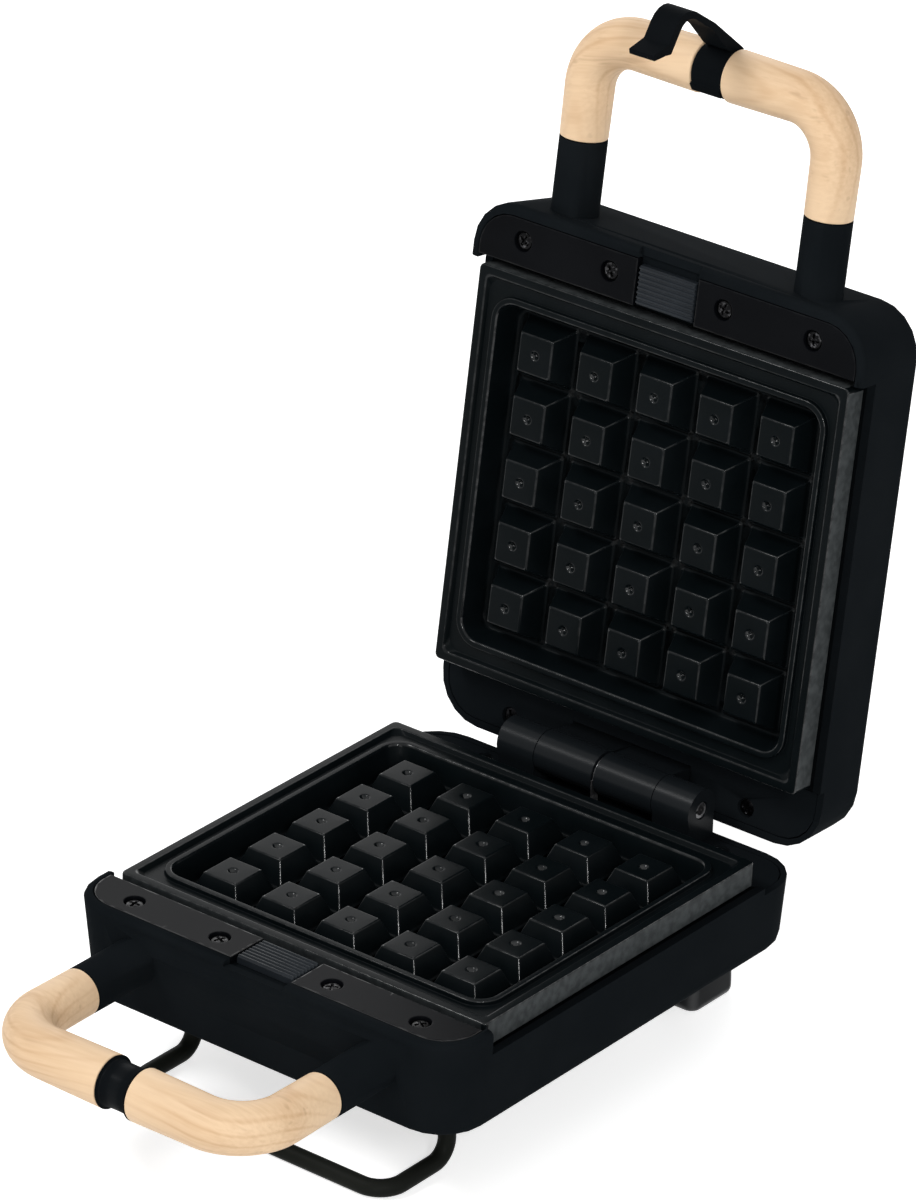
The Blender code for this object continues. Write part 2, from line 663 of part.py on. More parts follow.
def waffle_plate():
    """Cast plate: pan, bead, groove, rim and skirt, with its grid of blocks and the catch's lug."""
    under_rim = -GROOVE_DEPTH - PLATE_WALL
    bead_corner = CAVITY_CORNER + BEAD_WIDTH
    from_rim = (
        (PLATE_WALL, RIM_CORNER, under_rim),
        (PLATE_WALL, RIM_CORNER, -SKIRT_HEIGHT),
        (0.0, RIM_CORNER, -SKIRT_HEIGHT),
        (0.0, RIM_CORNER, -RIM_EDGE),
        (RIM_EDGE, RIM_CORNER, 0.0),
        (RIM_WIDTH, RIM_CORNER, 0.0),
        (RIM_WIDTH + GROOVE_DEPTH / 2, CAVITY_CORNER, -GROOVE_DEPTH),
    )
    from_cavity = (
        (BEAD_WIDTH, bead_corner, -GROOVE_DEPTH),
        (BEAD_WIDTH, bead_corner, -BEAD_ROUND),
        (BEAD_WIDTH - BEAD_ROUND, bead_corner, 0.0),
        (BEAD_ROUND, CAVITY_CORNER, 0.0),
        (0.0, CAVITY_CORNER, -BEAD_ROUND),
        (-CAVITY_TAPER, CAVITY_CORNER, FLOOR_TOP),
    )
    sections = [
        (CAVITY_X - CAVITY_TAPER + PLATE_WALL, CAVITY_Y - CAVITY_TAPER + PLATE_WALL, CAVITY_CORNER,
         PLATE_UNDERSIDE),
        (CAVITY_X + PLATE_WALL, CAVITY_Y + PLATE_WALL, CAVITY_CORNER, under_rim),
    ]
    sections += [(PLATE_X - inset, PLATE_Y - inset, corner, z) for inset, corner, z in from_rim]
    sections += [(CAVITY_X + out, CAVITY_Y + out, corner, z) for out, corner, z in from_cavity]
    pan = loft([level(rounded(-x, x, -y, y, corner), z) for x, y, corner, z in sections])
    middle = (CELLS - 1) / 2
    blocks = gathered([waffle_block((column - middle) * PITCH_X, (row - middle) * PITCH_Y)
                       for column in range(CELLS) for row in range(CELLS)])
    lug = block(-LUG_WIDTH / 2, LUG_WIDTH / 2, -PLATE_Y - LUG_REACH, -PLATE_Y + PLATE_WALL / 2,
                -SKIRT_HEIGHT, -SKIRT_HEIGHT + LUG_THICKNESS)
    return join(pan, blocks, lug)


def screw(length):
    """Cross-head screw standing on its shank, with the head's top at zero."""
    shank = rod(SHANK_RADIUS, (0, 0, -HEAD_HEIGHT - length), (0, 0, -HEAD_HEIGHT / 2), SCREW_SIDES)
    body = join(rod(HEAD_RADIUS, (0, 0, -HEAD_HEIGHT), (0, 0, 0), SCREW_SIDES), shank)
    long, wide = CROSS_LENGTH / 2, CROSS_WIDTH / 2
    return cut(body, block(-long, long, -wide, wide, -CROSS_DEPTH, OVERRUN),
               block(-wide, wide, -long, long, -CROSS_DEPTH, OVERRUN))


def screw_seats(places, top, bottom):
    """Cutters for countersunk heads and their clearance holes."""
    recess = top - HEAD_SINK - HEAD_HEIGHT - CLEARANCE
    return (holes(places, HEAD_RADIUS + CLEARANCE, recess, top + OVERRUN)
            + holes(places, SHANK_RADIUS + CLEARANCE, bottom - OVERRUN, top))


def front_strip(side):
    """Half of the front strip, beside the release button: side is -1 or 1."""
    inner = BUTTON_HALF_WIDTH + BUTTON_SIDE_GAP
    edges = sorted((side * inner, side * STRIP_X))
    corners = (STRIP_CORNER, CLEARANCE) if side < 0 else (CLEARANCE, STRIP_CORNER)
    outline = rounded(*edges, STRIP_FRONT, STRIP_BACK, *corners, CLEARANCE, CLEARANCE)
    places = [(x, y) for x, y in strip_screw_places() if x * side > 0]
    return cut(prism(outline, -STRIP_THICKNESS, 0.0), *screw_seats(places, 0.0, -STRIP_THICKNESS))


def rear_strip(spans, keeps_middle):
    """Rear strip, notched for the knuckles. The base's keeps its middle, where the washer's tab stands."""
    top = -REAR_STRIP_DROP
    bottom = top - STRIP_THICKNESS
    outline = rounded(-STRIP_X, STRIP_X, REAR_STRIP_FRONT, REAR_STRIP_BACK, CLEARANCE, CLEARANCE,
                      STRIP_CORNER, STRIP_CORNER)
    if not keeps_middle:
        spans = [(spans[0][0], spans[1][1])]
    notches = [block(x0 - CLEARANCE, x1 + CLEARANCE, HINGE_Y - BARREL_RADIUS, REAR_STRIP_BACK + OVERRUN,
                     bottom - OVERRUN, top + OVERRUN) for x0, x1 in spans]
    return cut(prism(outline, bottom, top), *notches, *screw_seats(rear_screw_places(), top, bottom))


def release_button():
    """Ribbed button with its stem through the shelf and the tongue that holds the plate's lug."""
    top = BUTTON_PROUD
    pitch = BUTTON_DEPTH / BUTTON_RIBS
    side = BUTTON_HALF_WIDTH + OVERRUN
    valleys = []
    for index in range(1, BUTTON_RIBS):
        back = BUTTON_FRONT + pitch * index
        valleys.append(block(-side, side, back - pitch / 2, back, top - RIB_DEPTH, top + OVERRUN))
    cap = cut(block(-BUTTON_HALF_WIDTH, BUTTON_HALF_WIDTH, BUTTON_FRONT, BUTTON_BACK, -BUTTON_THICKNESS, top),
              gathered(valleys))
    stem_bottom = -SPRING_DROP - SPRING_RADIUS - 2 * SPRING_WIRE
    stem = block(-STEM_HALF_WIDTH, STEM_HALF_WIDTH, STEM_FRONT, STEM_BACK, stem_bottom, -BUTTON_THICKNESS / 2)
    tongue_top = SHELF_TOP - SHELF - CLEARANCE
    tongue = block(-TONGUE_HALF_WIDTH, TONGUE_HALF_WIDTH, (STEM_FRONT + STEM_BACK) / 2,
                   -PLATE_Y - LUG_REACH - CLEARANCE, tongue_top - TONGUE_THICKNESS, tongue_top)
    return join(cap, stem, tongue)


def release_spring():
    """Compression spring between the button's stem and the casing's front wall."""
    share = SPRING_DROP / CASE_DEPTH
    start = STEM_FRONT - CLEARANCE - SPRING_WIRE
    end = CASE_FRONT + DRAFT_FRONT * share + CASE_WALL + CLEARANCE + 2 * SPRING_WIRE
    count = SPRING_TURNS * SPRING_POINTS
    points = []
    for index in range(count + 1):
        angle = math.tau * index / SPRING_POINTS
        points.append((SPRING_RADIUS * math.cos(angle), start + (end - start) * index / count,
                       -SPRING_DROP + SPRING_RADIUS * math.sin(angle)))
    return swept(points, SPRING_WIRE, SPRING_QUARTER_STEPS)


def element_tail_places():
    y = PLATE_Y - ELEMENT_INSET - ELEMENT_TAIL_SETBACK
    return [(-ELEMENT_TAIL_X, y), (ELEMENT_TAIL_X, y)]


def heating_element():
    """Round loop under the plate whose two ends turn down through the tray."""
    x, y = PLATE_X - ELEMENT_INSET, PLATE_Y - ELEMENT_INSET
    (left, tail_y), (right, _) = element_tail_places()
    low = ELEMENT_Z - ELEMENT_TAIL_DROP
    corners = [(left, tail_y, low), (left, tail_y, ELEMENT_Z), (left, y, ELEMENT_Z), (-x, y, ELEMENT_Z),
               (-x, -y, ELEMENT_Z), (x, -y, ELEMENT_Z), (x, y, ELEMENT_Z), (right, y, ELEMENT_Z),
               (right, tail_y, ELEMENT_Z), (right, tail_y, low)]
    tail, turn = ELEMENT_TAIL_BEND, ELEMENT_BEND
    path = bent(corners, (tail, tail, turn, turn, turn, turn, tail, tail), ELEMENT_STEPS)
    return swept(path, ELEMENT_RADIUS, WIRE_QUARTER_STEPS)


def heat_tray():
    """Sheet pan under the element, hung by its rim below the casing's flange."""
    rim_x, rim_y = PLATE_X - BULKHEAD, PLATE_Y - BULKHEAD
    rim_top = FLANGE_BOTTOM - CLEARANCE
    wall_x, wall_y = rim_x - TRAY_RIM, rim_y - TRAY_RIM
    sections = (
        (wall_x, wall_y, TRAY_FLOOR_BOTTOM), (wall_x, wall_y, rim_top - TRAY_SHEET),
        (rim_x, rim_y, rim_top - TRAY_SHEET), (rim_x, rim_y, rim_top),
        (wall_x - TRAY_SHEET, wall_y - TRAY_SHEET, rim_top),
        (wall_x - TRAY_SHEET, wall_y - TRAY_SHEET, TRAY_FLOOR_TOP),
    )
    pan = loft([level(rounded(-x, x, -y, y, TRAY_CORNER), z) for x, y, z in sections])
    reach = ELEMENT_RADIUS + CLEARANCE
    slots = [block(x - reach, x + reach, y - reach, y + ELEMENT_TAIL_BEND, TRAY_FLOOR_BOTTOM - OVERRUN,
                   TRAY_FLOOR_TOP + OVERRUN) for x, y in element_tail_places()]
    return cut(pan, *slots)


def thermostat():
    """Disc thermostat under the tray, with two blade terminals, in shares of the room there."""
    room = TRAY_FLOOR_BOTTOM - COVER_TOP
    height, blade_length = room * THERMOSTAT_SHARE, room * BLADE_SHARE
    top = TRAY_FLOOR_BOTTOM - CLEARANCE
    x, y = THERMOSTAT_X, THERMOSTAT_Y
    body = rod(THERMOSTAT_RADIUS, (x, y, top - height), (x, y, top), SCREW_SIDES)
    blades = []
    for middle in (y - BLADE_SPACING, y + BLADE_SPACING):
        blades.append(block(x - BLADE_THICKNESS / 2, x + BLADE_THICKNESS / 2, middle - BLADE_WIDTH / 2,
                            middle + BLADE_WIDTH / 2, top - height - blade_length, top - height / 2))
    return join(body, *blades)


def thermal_fuse():
    z = TRAY_FLOOR_BOTTOM - CLEARANCE - FUSE_RADIUS
    tip = FUSE_LENGTH / 2 + LEAD_LENGTH
    return join(rod(FUSE_RADIUS, (FUSE_X, -FUSE_LENGTH / 2, z), (FUSE_X, FUSE_LENGTH / 2, z), SCREW_SIDES),
                rod(LEAD_RADIUS, (FUSE_X, -tip, z), (FUSE_X, tip, z), SCREW_SIDES))


def terminal_block():
    low = COVER_TOP + CLEARANCE
    body = block(TERMINAL_X - TERMINAL_WIDTH / 2, TERMINAL_X + TERMINAL_WIDTH / 2,
                 TERMINAL_Y - TERMINAL_DEPTH / 2, TERMINAL_Y + TERMINAL_DEPTH / 2, low, low + TERMINAL_HEIGHT)
    pitch = TERMINAL_WIDTH / TERMINAL_WAYS
    first = TERMINAL_X - pitch * (TERMINAL_WAYS - 1) / 2
    places = [(first + pitch * index, TERMINAL_Y) for index in range(TERMINAL_WAYS)]
    return cut(body, *holes(places, TERMINAL_HOLE, low - OVERRUN, low + TERMINAL_HEIGHT + OVERRUN))


def cord_gland():
    """Grommet in the rear wall: outer flange, neck and inner flange round an open bore."""
    outer, inner = GLAND_THICKNESS, -CASE_WALL - 2 * CLEARANCE
    stations = [(inner - GLAND_THICKNESS, GLAND_BORE), (outer + CLEARANCE, GLAND_BORE),
                (outer + CLEARANCE, GLAND_FLANGE), (CLEARANCE, GLAND_FLANGE), (CLEARANCE, GLAND_NECK),
                (inner, GLAND_NECK), (inner, GLAND_NECK + GLAND_CATCH), (inner - GLAND_THICKNESS, GLAND_NECK)]
    return gland_placed(turned(stations, closed=True))


def foot_places():
    return [(-FOOT_X, FOOT_Y), (FOOT_X, FOOT_Y)]


def wire_leg_places():
    return [(-WIRE_LEG_X, WIRE_LEG_Y), (WIRE_LEG_X, WIRE_LEG_Y)]


def bottom_cover():
    """Plate that closes the base, with sockets for the wire stand, holes for the feet and vents."""
    outline = rounded(*cover_box(CLEARANCE), CASE_CORNER - COVER_INSET - CLEARANCE)
    sockets = [rod(WIRE_RADIUS + CLEARANCE + SOCKET_WALL, (x, y, COVER_TOP - COVER_THICKNESS / 2),
                   (x, y, COVER_TOP + SOCKET_DEPTH)) for x, y in wire_leg_places()]
    cover = join(prism(outline, COVER_BOTTOM, COVER_TOP), *sockets)
    seats = []
    for x, y in cover_screw_places():
        seats.append(rod(HEAD_RADIUS + CLEARANCE, (x, y, COVER_BOTTOM - OVERRUN),
                         (x, y, COVER_BOTTOM + HEAD_SINK + HEAD_HEIGHT + CLEARANCE), SCREW_SIDES))
        seats.append(rod(SHANK_RADIUS + CLEARANCE, (x, y, COVER_BOTTOM), (x, y, COVER_TOP + OVERRUN),
                         SCREW_SIDES))
    vents = [block(-VENT_LENGTH / 2, VENT_LENGTH / 2, index * VENT_PITCH - VENT_WIDTH / 2,
                   index * VENT_PITCH + VENT_WIDTH / 2, COVER_BOTTOM - OVERRUN, COVER_TOP + OVERRUN)
             for index in range(-VENTS_EACH_WAY, VENTS_EACH_WAY + 1)]
    legs = [rod(WIRE_RADIUS + CLEARANCE, (x, y, COVER_BOTTOM - OVERRUN),
                (x, y, COVER_TOP + SOCKET_DEPTH + OVERRUN)) for x, y in wire_leg_places()]
    pegs = holes(foot_places(), PEG_RADIUS + CLEARANCE, COVER_BOTTOM - OVERRUN, COVER_TOP + OVERRUN)
    return cut(cover, *seats, *vents, *legs, *pegs)


def cover_box(gap):
    """Low and high X, then low and high Y, of the bottom opening, drawn in by a gap."""
    inset = COVER_INSET + gap
    side = CASE_X - DRAFT_SIDE - inset
    return -side, side, CASE_FRONT + DRAFT_FRONT + inset, CASE_BACK - DRAFT_REAR - inset


def wire_stand():
    """Bent wire: two legs down from the cover, forward along the table and across the front."""
    low = -STAND_HEIGHT + WIRE_RADIUS
    top = COVER_TOP + SOCKET_DEPTH - CLEARANCE
    (left, leg_y), (right, _) = wire_leg_places()
    corners = [(left, leg_y, top), (left, leg_y, low), (left, WIRE_FRONT_Y, low), (right, WIRE_FRONT_Y, low),
               (right, leg_y, low), (right, leg_y, top)]
    path = bent(corners, (WIRE_LEG_BEND, WIRE_CORNER, WIRE_CORNER, WIRE_LEG_BEND))
    return swept(path, WIRE_RADIUS, WIRE_QUARTER_STEPS)


def rear_foot():
    """Moulded foot with a peg, standing on the table at zero."""
    top = STAND_HEIGHT - CASE_DEPTH - CLEARANCE
    x, y = FOOT_WIDTH / 2, FOOT_DEPTH / 2
    rings = []
    for z, inset in ((0.0, FOOT_EDGE), (FOOT_EDGE, 0.0), (top, 0.0)):
        rings.append(level(rounded(inset - x, x - inset, inset - y, y - inset, FOOT_CORNER), z))
    return join(loft(rings), rod(PEG_RADIUS, (0, 0, top - OVERRUN), (0, 0, top + PEG_LENGTH), SCREW_SIDES))


def grip(side, offset):
    """Half of the wooden grip, from an arm's end to the ring or the latch band: side is -1 or 1."""
    x, z = side * ARM_X, -HANDLE_DROP
    start = ARM_END - CLEARANCE
    inner = offset + side * (RING_WIDTH / 2 + CLEARANCE)
    path = bent([(x, start, z), (x, BAR_Y, z), (inner, BAR_Y, z)], (BEND_RADIUS,), GRIP_STEPS)
    tenon_hole = rod(TENON_RADIUS + CLEARANCE, (x, start + OVERRUN, z),
                     (x, ARM_END - TENON_LENGTH - CLEARANCE, z), SCREW_SIDES)
    reach = inner + side * (DOWEL_REACH + CLEARANCE)
    dowel_hole = rod(DOWEL_RADIUS + CLEARANCE, (inner - side * OVERRUN, BAR_Y, z), (reach, BAR_Y, z),
                     SCREW_SIDES)
    return cut(swept(path, TUBE_RADIUS, GRIP_QUARTER_STEPS, ARM_RADIUS), tenon_hole, dowel_hole)


def grip_dowel(offset):
    half = RING_WIDTH / 2 + DOWEL_REACH
    return rod(DOWEL_RADIUS, (offset - half, BAR_Y, -HANDLE_DROP), (offset + half, BAR_Y, -HANDLE_DROP),
               SCREW_SIDES)


def handle_ring():
    """Waisted ring that the latch hooks round."""
    end, flat = RING_WIDTH / 2, RING_WIDTH / 2 - RING_FLARE
    waist, bore = TUBE_RADIUS - RING_WAIST, DOWEL_RADIUS + CLEARANCE
    stations = [(-end, TUBE_RADIUS), (-flat, waist), (flat, waist), (end, TUBE_RADIUS), (end, bore),
                (-end, bore)]
    return turned(stations, closed=True)


def latch_clip():
    """Clip about the X axis at zero, in its latched place: Y away from the handle, Z to the other bar."""
    inner = TUBE_RADIUS + CLEARANCE
    outer = inner + CLIP_THICKNESS
    floor = CLOSED_BARS + TUBE_RADIUS - RING_WAIST + CLEARANCE
    bottom = floor + CLIP_FLOOR
    tab_end = -CLIP_LIP / 2 - CLIP_TAB
    corners = (
        (BAND_RADIUS - CLIP_THICKNESS, 0.0, None),
        (inner, 0.0, CLEARANCE),
        (outer, CLOSED_BARS * CLIP_STRAIGHT_SHARE, CLIP_BACK_ROUND),
        (outer, bottom, CLIP_OUTER_ROUND),
        (-CLIP_LIP / 2, bottom, CLIP_TAB_ROUND),
        (tab_end, bottom + CLIP_TAB, CLEARANCE),
        (tab_end - CLIP_TAB_THICKNESS, bottom + CLIP_TAB - CLIP_TAB_THICKNESS, CLEARANCE),
        (-CLIP_LIP - CLIP_TAB_THICKNESS, bottom - CLIP_TAB_THICKNESS / 2, CLIP_TAB_ROUND),
        (-CLIP_LIP, floor, CLIP_TAB_ROUND),
        (inner, floor, CLIP_INNER_ROUND),
        (inner, CLOSED_BARS * CLIP_STRAIGHT_SHARE, CLIP_BACK_ROUND),
        (BAND_RADIUS - CLIP_THICKNESS, BAND_RADIUS, None),
    )
    outline = bent([(0.0, -away, out) for away, out, _ in corners],
                   [radius for _, _, radius in corners[1:-1]])
    hook = slab([(y, z) for _, y, z in outline], -CLIP_WIDTH / 2, CLIP_WIDTH / 2)
    band = rod(BAND_RADIUS, (-RING_WIDTH / 2, 0, 0), (RING_WIDTH / 2, 0, 0))
    lip = block(-RING_WIDTH / 2, RING_WIDTH / 2, BAND_RADIUS - BAND_LIP_PROUD, BAND_RADIUS + BAND_LIP_PROUD,
                -BAND_LIP_WIDTH / 2, BAND_LIP_WIDTH / 2)
    bore = rod(DOWEL_RADIUS + CLEARANCE, (-RING_WIDTH, 0, 0), (RING_WIDTH, 0, 0), SCREW_SIDES)
    return cut(join(band, hook, moved(lip, rotation=(BAND_LIP_ANGLE, 0, 0))), bore)


def hinge_pin():
    """Slotted spring pin along the barrel, its slot facing forward."""
    (left, _), (_, right) = knuckles(inner=False)
    left, right = left + PIN_SHORT, right - PIN_SHORT
    core = PIN_RADIUS - PIN_WALL
    tube = turned([(left, PIN_RADIUS), (right, PIN_RADIUS), (right, core), (left, core)], closed=True)
    slot = block(left - OVERRUN, right + OVERRUN, -PIN_RADIUS - OVERRUN, 0, -PIN_SLOT / 2, PIN_SLOT / 2)
    return cut(tube, slot)


def hinge_washer():
    """Washer at the middle seam, kept from turning by a tab that stands on the rear strip."""
    half = WASHER_THICKNESS / 2
    disc = rod(BARREL_RADIUS - WASHER_INSET, (-half, 0, 0), (half, 0, 0))
    tab = block(-half, half, -BARREL_RADIUS, -BARREL_RADIUS + WASHER_TAB,
                -REAR_STRIP_DROP + CLEARANCE - HINGE_Z, 0.0)
    return cut(join(disc, tab), rod(PIN_RADIUS + CLEARANCE, (-OVERRUN, 0, 0), (OVERRUN, 0, 0)))


# Looks, as colour and roughness and, where it isn't zero, metallic
BLACK_SHELL = ((0.012, 0.013, 0.014), 0.5)
STRIP_BLACK = ((0.022, 0.024, 0.026), 0.45)
NON_STICK = ((0.012, 0.014, 0.015), 0.3, 0.2)
BUTTON_GREY = ((0.026, 0.031, 0.037), 0.5)
DARK_STEEL = ((0.03, 0.032, 0.034), 0.35, 0.9)
BEECH = ((0.8, 0.62, 0.4), 0.55)
WIRE_BLACK = ((0.01, 0.011, 0.01), 0.35, 0.6)
SHEET_METAL = ((0.6, 0.6, 0.6), 0.35, 0.9)
STEEL = ((0.5, 0.5, 0.5), 0.3, 1.0)
RUBBER = ((0.05, 0.05, 0.05), 0.7)
CERAMIC = ((0.75, 0.73, 0.68), 0.6)


def make_half(prefix, frame, spans, hinge_z, offset, open_bottom):
    """The pieces that both halves share."""
    node(prefix + "_casing", casing(spans, hinge_z, open_bottom), BLACK_SHELL, frame)
    node(prefix + "_waffle_plate", waffle_plate(), NON_STICK, frame)
    node(prefix + "_heating_element", heating_element(), STEEL, frame)
    node(prefix + "_heat_tray", heat_tray(), SHEET_METAL, frame)
    node(prefix + "_thermostat", thermostat(), STEEL, frame)
    node(prefix + "_release_button", release_button(), BUTTON_GREY, frame)
    node(prefix + "_release_spring", release_spring(), STEEL, frame)
    node(prefix + "_rear_strip", rear_strip(spans, open_bottom), STRIP_BLACK, frame)
    for side, name in ((-1, "left"), (1, "right")):
        node(f"{prefix}_front_strip_{name}", front_strip(side), STRIP_BLACK, frame)
        node(f"{prefix}_grip_{name}", grip(side, offset), BEECH, frame)
    node(prefix + "_grip_dowel", grip_dowel(offset), STEEL, frame)
    strip_screw = screw(SHANK_LENGTH)
    places = [(x, y, -HEAD_SINK) for x, y in strip_screw_places()]
    for index, place in enumerate(places):
        node(f"{prefix}_strip_screw_{index + 1}", strip_screw, DARK_STEEL, frame, place)
    places = [(x, y, -REAR_STRIP_DROP - HEAD_SINK) for x, y in rear_screw_places()]
    for index, place in enumerate(places):
        node(f"{prefix}_rear_screw_{index + 1}", strip_screw, DARK_STEEL, frame, place)


def make_base(frame):
    make_half("base", frame, knuckles(inner=False), HINGE_Z, RING_OFFSET, True)
    node("bottom_cover", bottom_cover(), BLACK_SHELL, frame)
    cover_screw = screw(COVER_SCREW_LENGTH)
    for index, (x, y) in enumerate(cover_screw_places()):
        node(f"cover_screw_{index + 1}", cover_screw, STEEL, frame, (x, y, COVER_BOTTOM + HEAD_SINK),
             (math.pi, 0, 0))
    node("wire_stand", wire_stand(), WIRE_BLACK, frame)
    foot = rear_foot()
    for (x, y), name in zip(foot_places(), ("left", "right")):
        node(f"rear_foot_{name}", foot, RUBBER, frame, (x, y, -STAND_HEIGHT))
    node("handle_ring", handle_ring(), BLACK_SHELL, frame, (RING_OFFSET, BAR_Y, -HANDLE_DROP))
    node("hinge_pin", hinge_pin(), DARK_STEEL, frame, (0, HINGE_Y, HINGE_Z))
    node("hinge_washer", hinge_washer(), DARK_STEEL, frame, (BARREL_MIDDLE, HINGE_Y, HINGE_Z))
    node("thermal_fuse", thermal_fuse(), STEEL, frame)
    node("terminal_block", terminal_block(), CERAMIC, frame)
    node("cord_gland", cord_gland(), RUBBER, frame)


def make_lid(frame):
    """The lid's half frame is turned over, so X runs the other way in it."""
    spans = [(-x1, -x0) for x0, x1 in reversed(knuckles(inner=True))]
    make_half("lid", frame, spans, CLOSED_GAP - HINGE_Z, -RING_OFFSET, False)
    latch_axis = empty("latch_axis", frame, (-RING_OFFSET, BAR_Y, -HANDLE_DROP), (LATCH_SWING, 0, 0))
    node("latch_clip", latch_clip(), BLACK_SHELL, latch_axis)


def main():
    clear_scene()
    base_frame = empty("base_frame", None, (0, -FRAME_MIDDLE, STAND_HEIGHT))
    lid_hinge = empty("lid_hinge", base_frame, (0, HINGE_Y, HINGE_Z), (-OPEN_ANGLE, 0, 0))
    lid_frame = empty("lid_frame", lid_hinge, (0, -HINGE_Y, CLOSED_GAP - HINGE_Z), (0, math.pi, 0))
    make_base(base_frame)
    make_lid(lid_frame)


main()
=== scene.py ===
"""Waffle and sandwich maker: every visible piece with its finish, in the order in which it is put together.

Sizes are in millimetres. Each half of the maker has a half frame: X to the right, Y from the handle to the
hinge, Z out of the cooking side, with zero at the top of the plate's rim.
"""

import math

import bmesh
import bpy
import numpy as np
from mathutils import Matrix


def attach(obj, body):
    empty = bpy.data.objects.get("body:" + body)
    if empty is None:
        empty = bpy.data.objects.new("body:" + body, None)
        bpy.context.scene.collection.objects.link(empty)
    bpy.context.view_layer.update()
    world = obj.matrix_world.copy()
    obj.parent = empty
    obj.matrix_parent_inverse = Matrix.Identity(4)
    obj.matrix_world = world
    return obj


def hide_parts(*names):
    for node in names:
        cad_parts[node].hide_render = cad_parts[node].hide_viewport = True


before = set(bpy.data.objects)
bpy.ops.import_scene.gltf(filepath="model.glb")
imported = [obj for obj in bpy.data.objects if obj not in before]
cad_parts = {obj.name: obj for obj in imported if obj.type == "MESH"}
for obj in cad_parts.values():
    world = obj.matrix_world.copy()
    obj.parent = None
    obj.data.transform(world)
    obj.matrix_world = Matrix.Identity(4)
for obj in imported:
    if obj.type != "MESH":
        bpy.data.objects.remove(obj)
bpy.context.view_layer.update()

# Camera: a long lens above the right front corner of the maker, about two metres away, as the photograph
# was taken. Its place and turn come from the grid of blocks on both plates.
CAMERA_PLACE = (1.17153862, -1.47507312, 1.08983950)
CAMERA_TURN = (63.37581552, -1.20832315, 38.81647018)
CAMERA_LENS = 223.8775
SENSOR = 36.0
FAR_CLIP = 50.0

camera_data = bpy.data.cameras.new("camera")
camera_data.lens = CAMERA_LENS
camera_data.sensor_width = SENSOR
camera_data.clip_end = FAR_CLIP
camera = bpy.data.objects.new("camera", camera_data)
camera.location = CAMERA_PLACE
camera.rotation_euler = [math.radians(turn) for turn in CAMERA_TURN]
bpy.context.scene.collection.objects.link(camera)
bpy.context.scene.camera = camera


# Table and light: a white table without an edge, a soft key lamp above the left front, a low fill in front, a
# narrow lamp on the right for the blocks' corners, and behind a window for the tops and a lamp for the rims.
class Amount:
    """A socket of a material. A sum written on it, such as 1 - mask, adds a Math node to that material."""

    def __init__(self, socket):
        self.socket = socket

    def node(self, kind, settings=None, values=None, output=0):
        """Adds a node of a type: its settings first, then the value or link of each of its sockets."""
        tree = self.socket.id_data
        new = tree.nodes.new("ShaderNode" + kind)
        for name, setting in (settings or {}).items():
            setattr(new, name, setting)
        sockets = {socket.identifier: socket for socket in new.inputs}
        for name, value in (values or {}).items():
            if isinstance(value, Amount):
                tree.links.new(value.socket, sockets[name])
            else:
                sockets[name].default_value = value
        return Amount(new.outputs[output])

    def math(self, operation, first, second=0.0):
        """Adds a Math node of an operation on two numbers or amounts."""
        return self.node("Math", {"operation": operation}, {"Value": first, "Value_001": second})

    def __add__(self, other):
        return self.math("ADD", self, other)

    def __radd__(self, other):
        return self.math("ADD", other, self)

    def __sub__(self, other):
        return self.math("SUBTRACT", self, other)

    def __rsub__(self, other):
        return self.math("SUBTRACT", other, self)

    def __mul__(self, other):
        return self.math("MULTIPLY", self, other)

    def __rmul__(self, other):
        return self.math("MULTIPLY", other, self)

    def clamped(self, low, high):
        """The amount's course from 0 at low to 1 at high."""
        return self.node("MapRange", {"interpolation_type": "SMOOTHSTEP"},
                         {"Value": self, "From Min": low, "From Max": high})

    def between(self, first, second):
        """Colour that goes from the first to the second as this amount goes from 0 to 1."""
        return self.node("Mix", {"data_type": "RGBA"},
                         {"Factor_Float": self, "A_Color": first, "B_Color": second}, 2)

    def shown_white(self):
        """1 for camera, glossy and transmission rays and 0 for all others, from a Light Path node."""
        rays = self.node("LightPath").socket.node.outputs
        kinds = ("Is Camera Ray", "Is Glossy Ray", "Is Transmission Ray")
        eye, gloss, glass = (Amount(rays[kind]) for kind in kinds)
        return eye.math("MAXIMUM", eye.math("MAXIMUM", eye, gloss), glass)


WORLD_LIGHT = 0.42
TABLE_SIZE, TABLE_THICKNESS = 12000.0, 10.0
TABLE_COLOUR = 0.9
TABLE_GLOW = 0.62
LAMPS = (
    # name, place, aimed at, width, height, watts
    ("key", (-1.0, -1.3, 2.1), (0.0, 0.0, 0.1), 0.7, 0.7, 24.0),
    ("side", (1.35, -2.05, 0.62), (0.0, 0.0, 0.08), 0.5, 0.35, 9.0),
    ("glint", (1.60, -1.24, 1.34), (0.0, 0.0, 0.06), 0.12, 0.4, 14.0),
    ("window", (-1.15, 1.30, 0.97), (0.0, 0.0, 0.06), 1.2, 1.0, 7.0),
    ("back", (0.5, 1.9, 1.9), (0.0, 0.0, 0.15), 0.8, 0.5, 4.0),
)

world = bpy.data.worlds.new("world")
bpy.context.scene.world = world
world.use_nodes = True
background = world.node_tree.nodes["Background"]
background.inputs["Color"].default_value = (1, 1, 1, 1)
strength = WORLD_LIGHT + Amount(background.outputs[0]).shown_white() * (1.0 - WORLD_LIGHT)
world.node_tree.links.new(strength.socket, background.inputs["Strength"])

for name, place, target, width, height, watts in LAMPS:
    lamp_data = bpy.data.lights.new(name, "AREA")
    lamp_data.shape = "RECTANGLE"
    lamp_data.size, lamp_data.size_y, lamp_data.energy = width, height, watts
    lamp = bpy.data.objects.new(name, lamp_data)
    lamp.location = place
    aim = Matrix.Translation(target).translation - lamp.location
    lamp.rotation_euler = aim.to_track_quat("-Z", "Y").to_euler()
    bpy.context.scene.collection.objects.link(lamp)


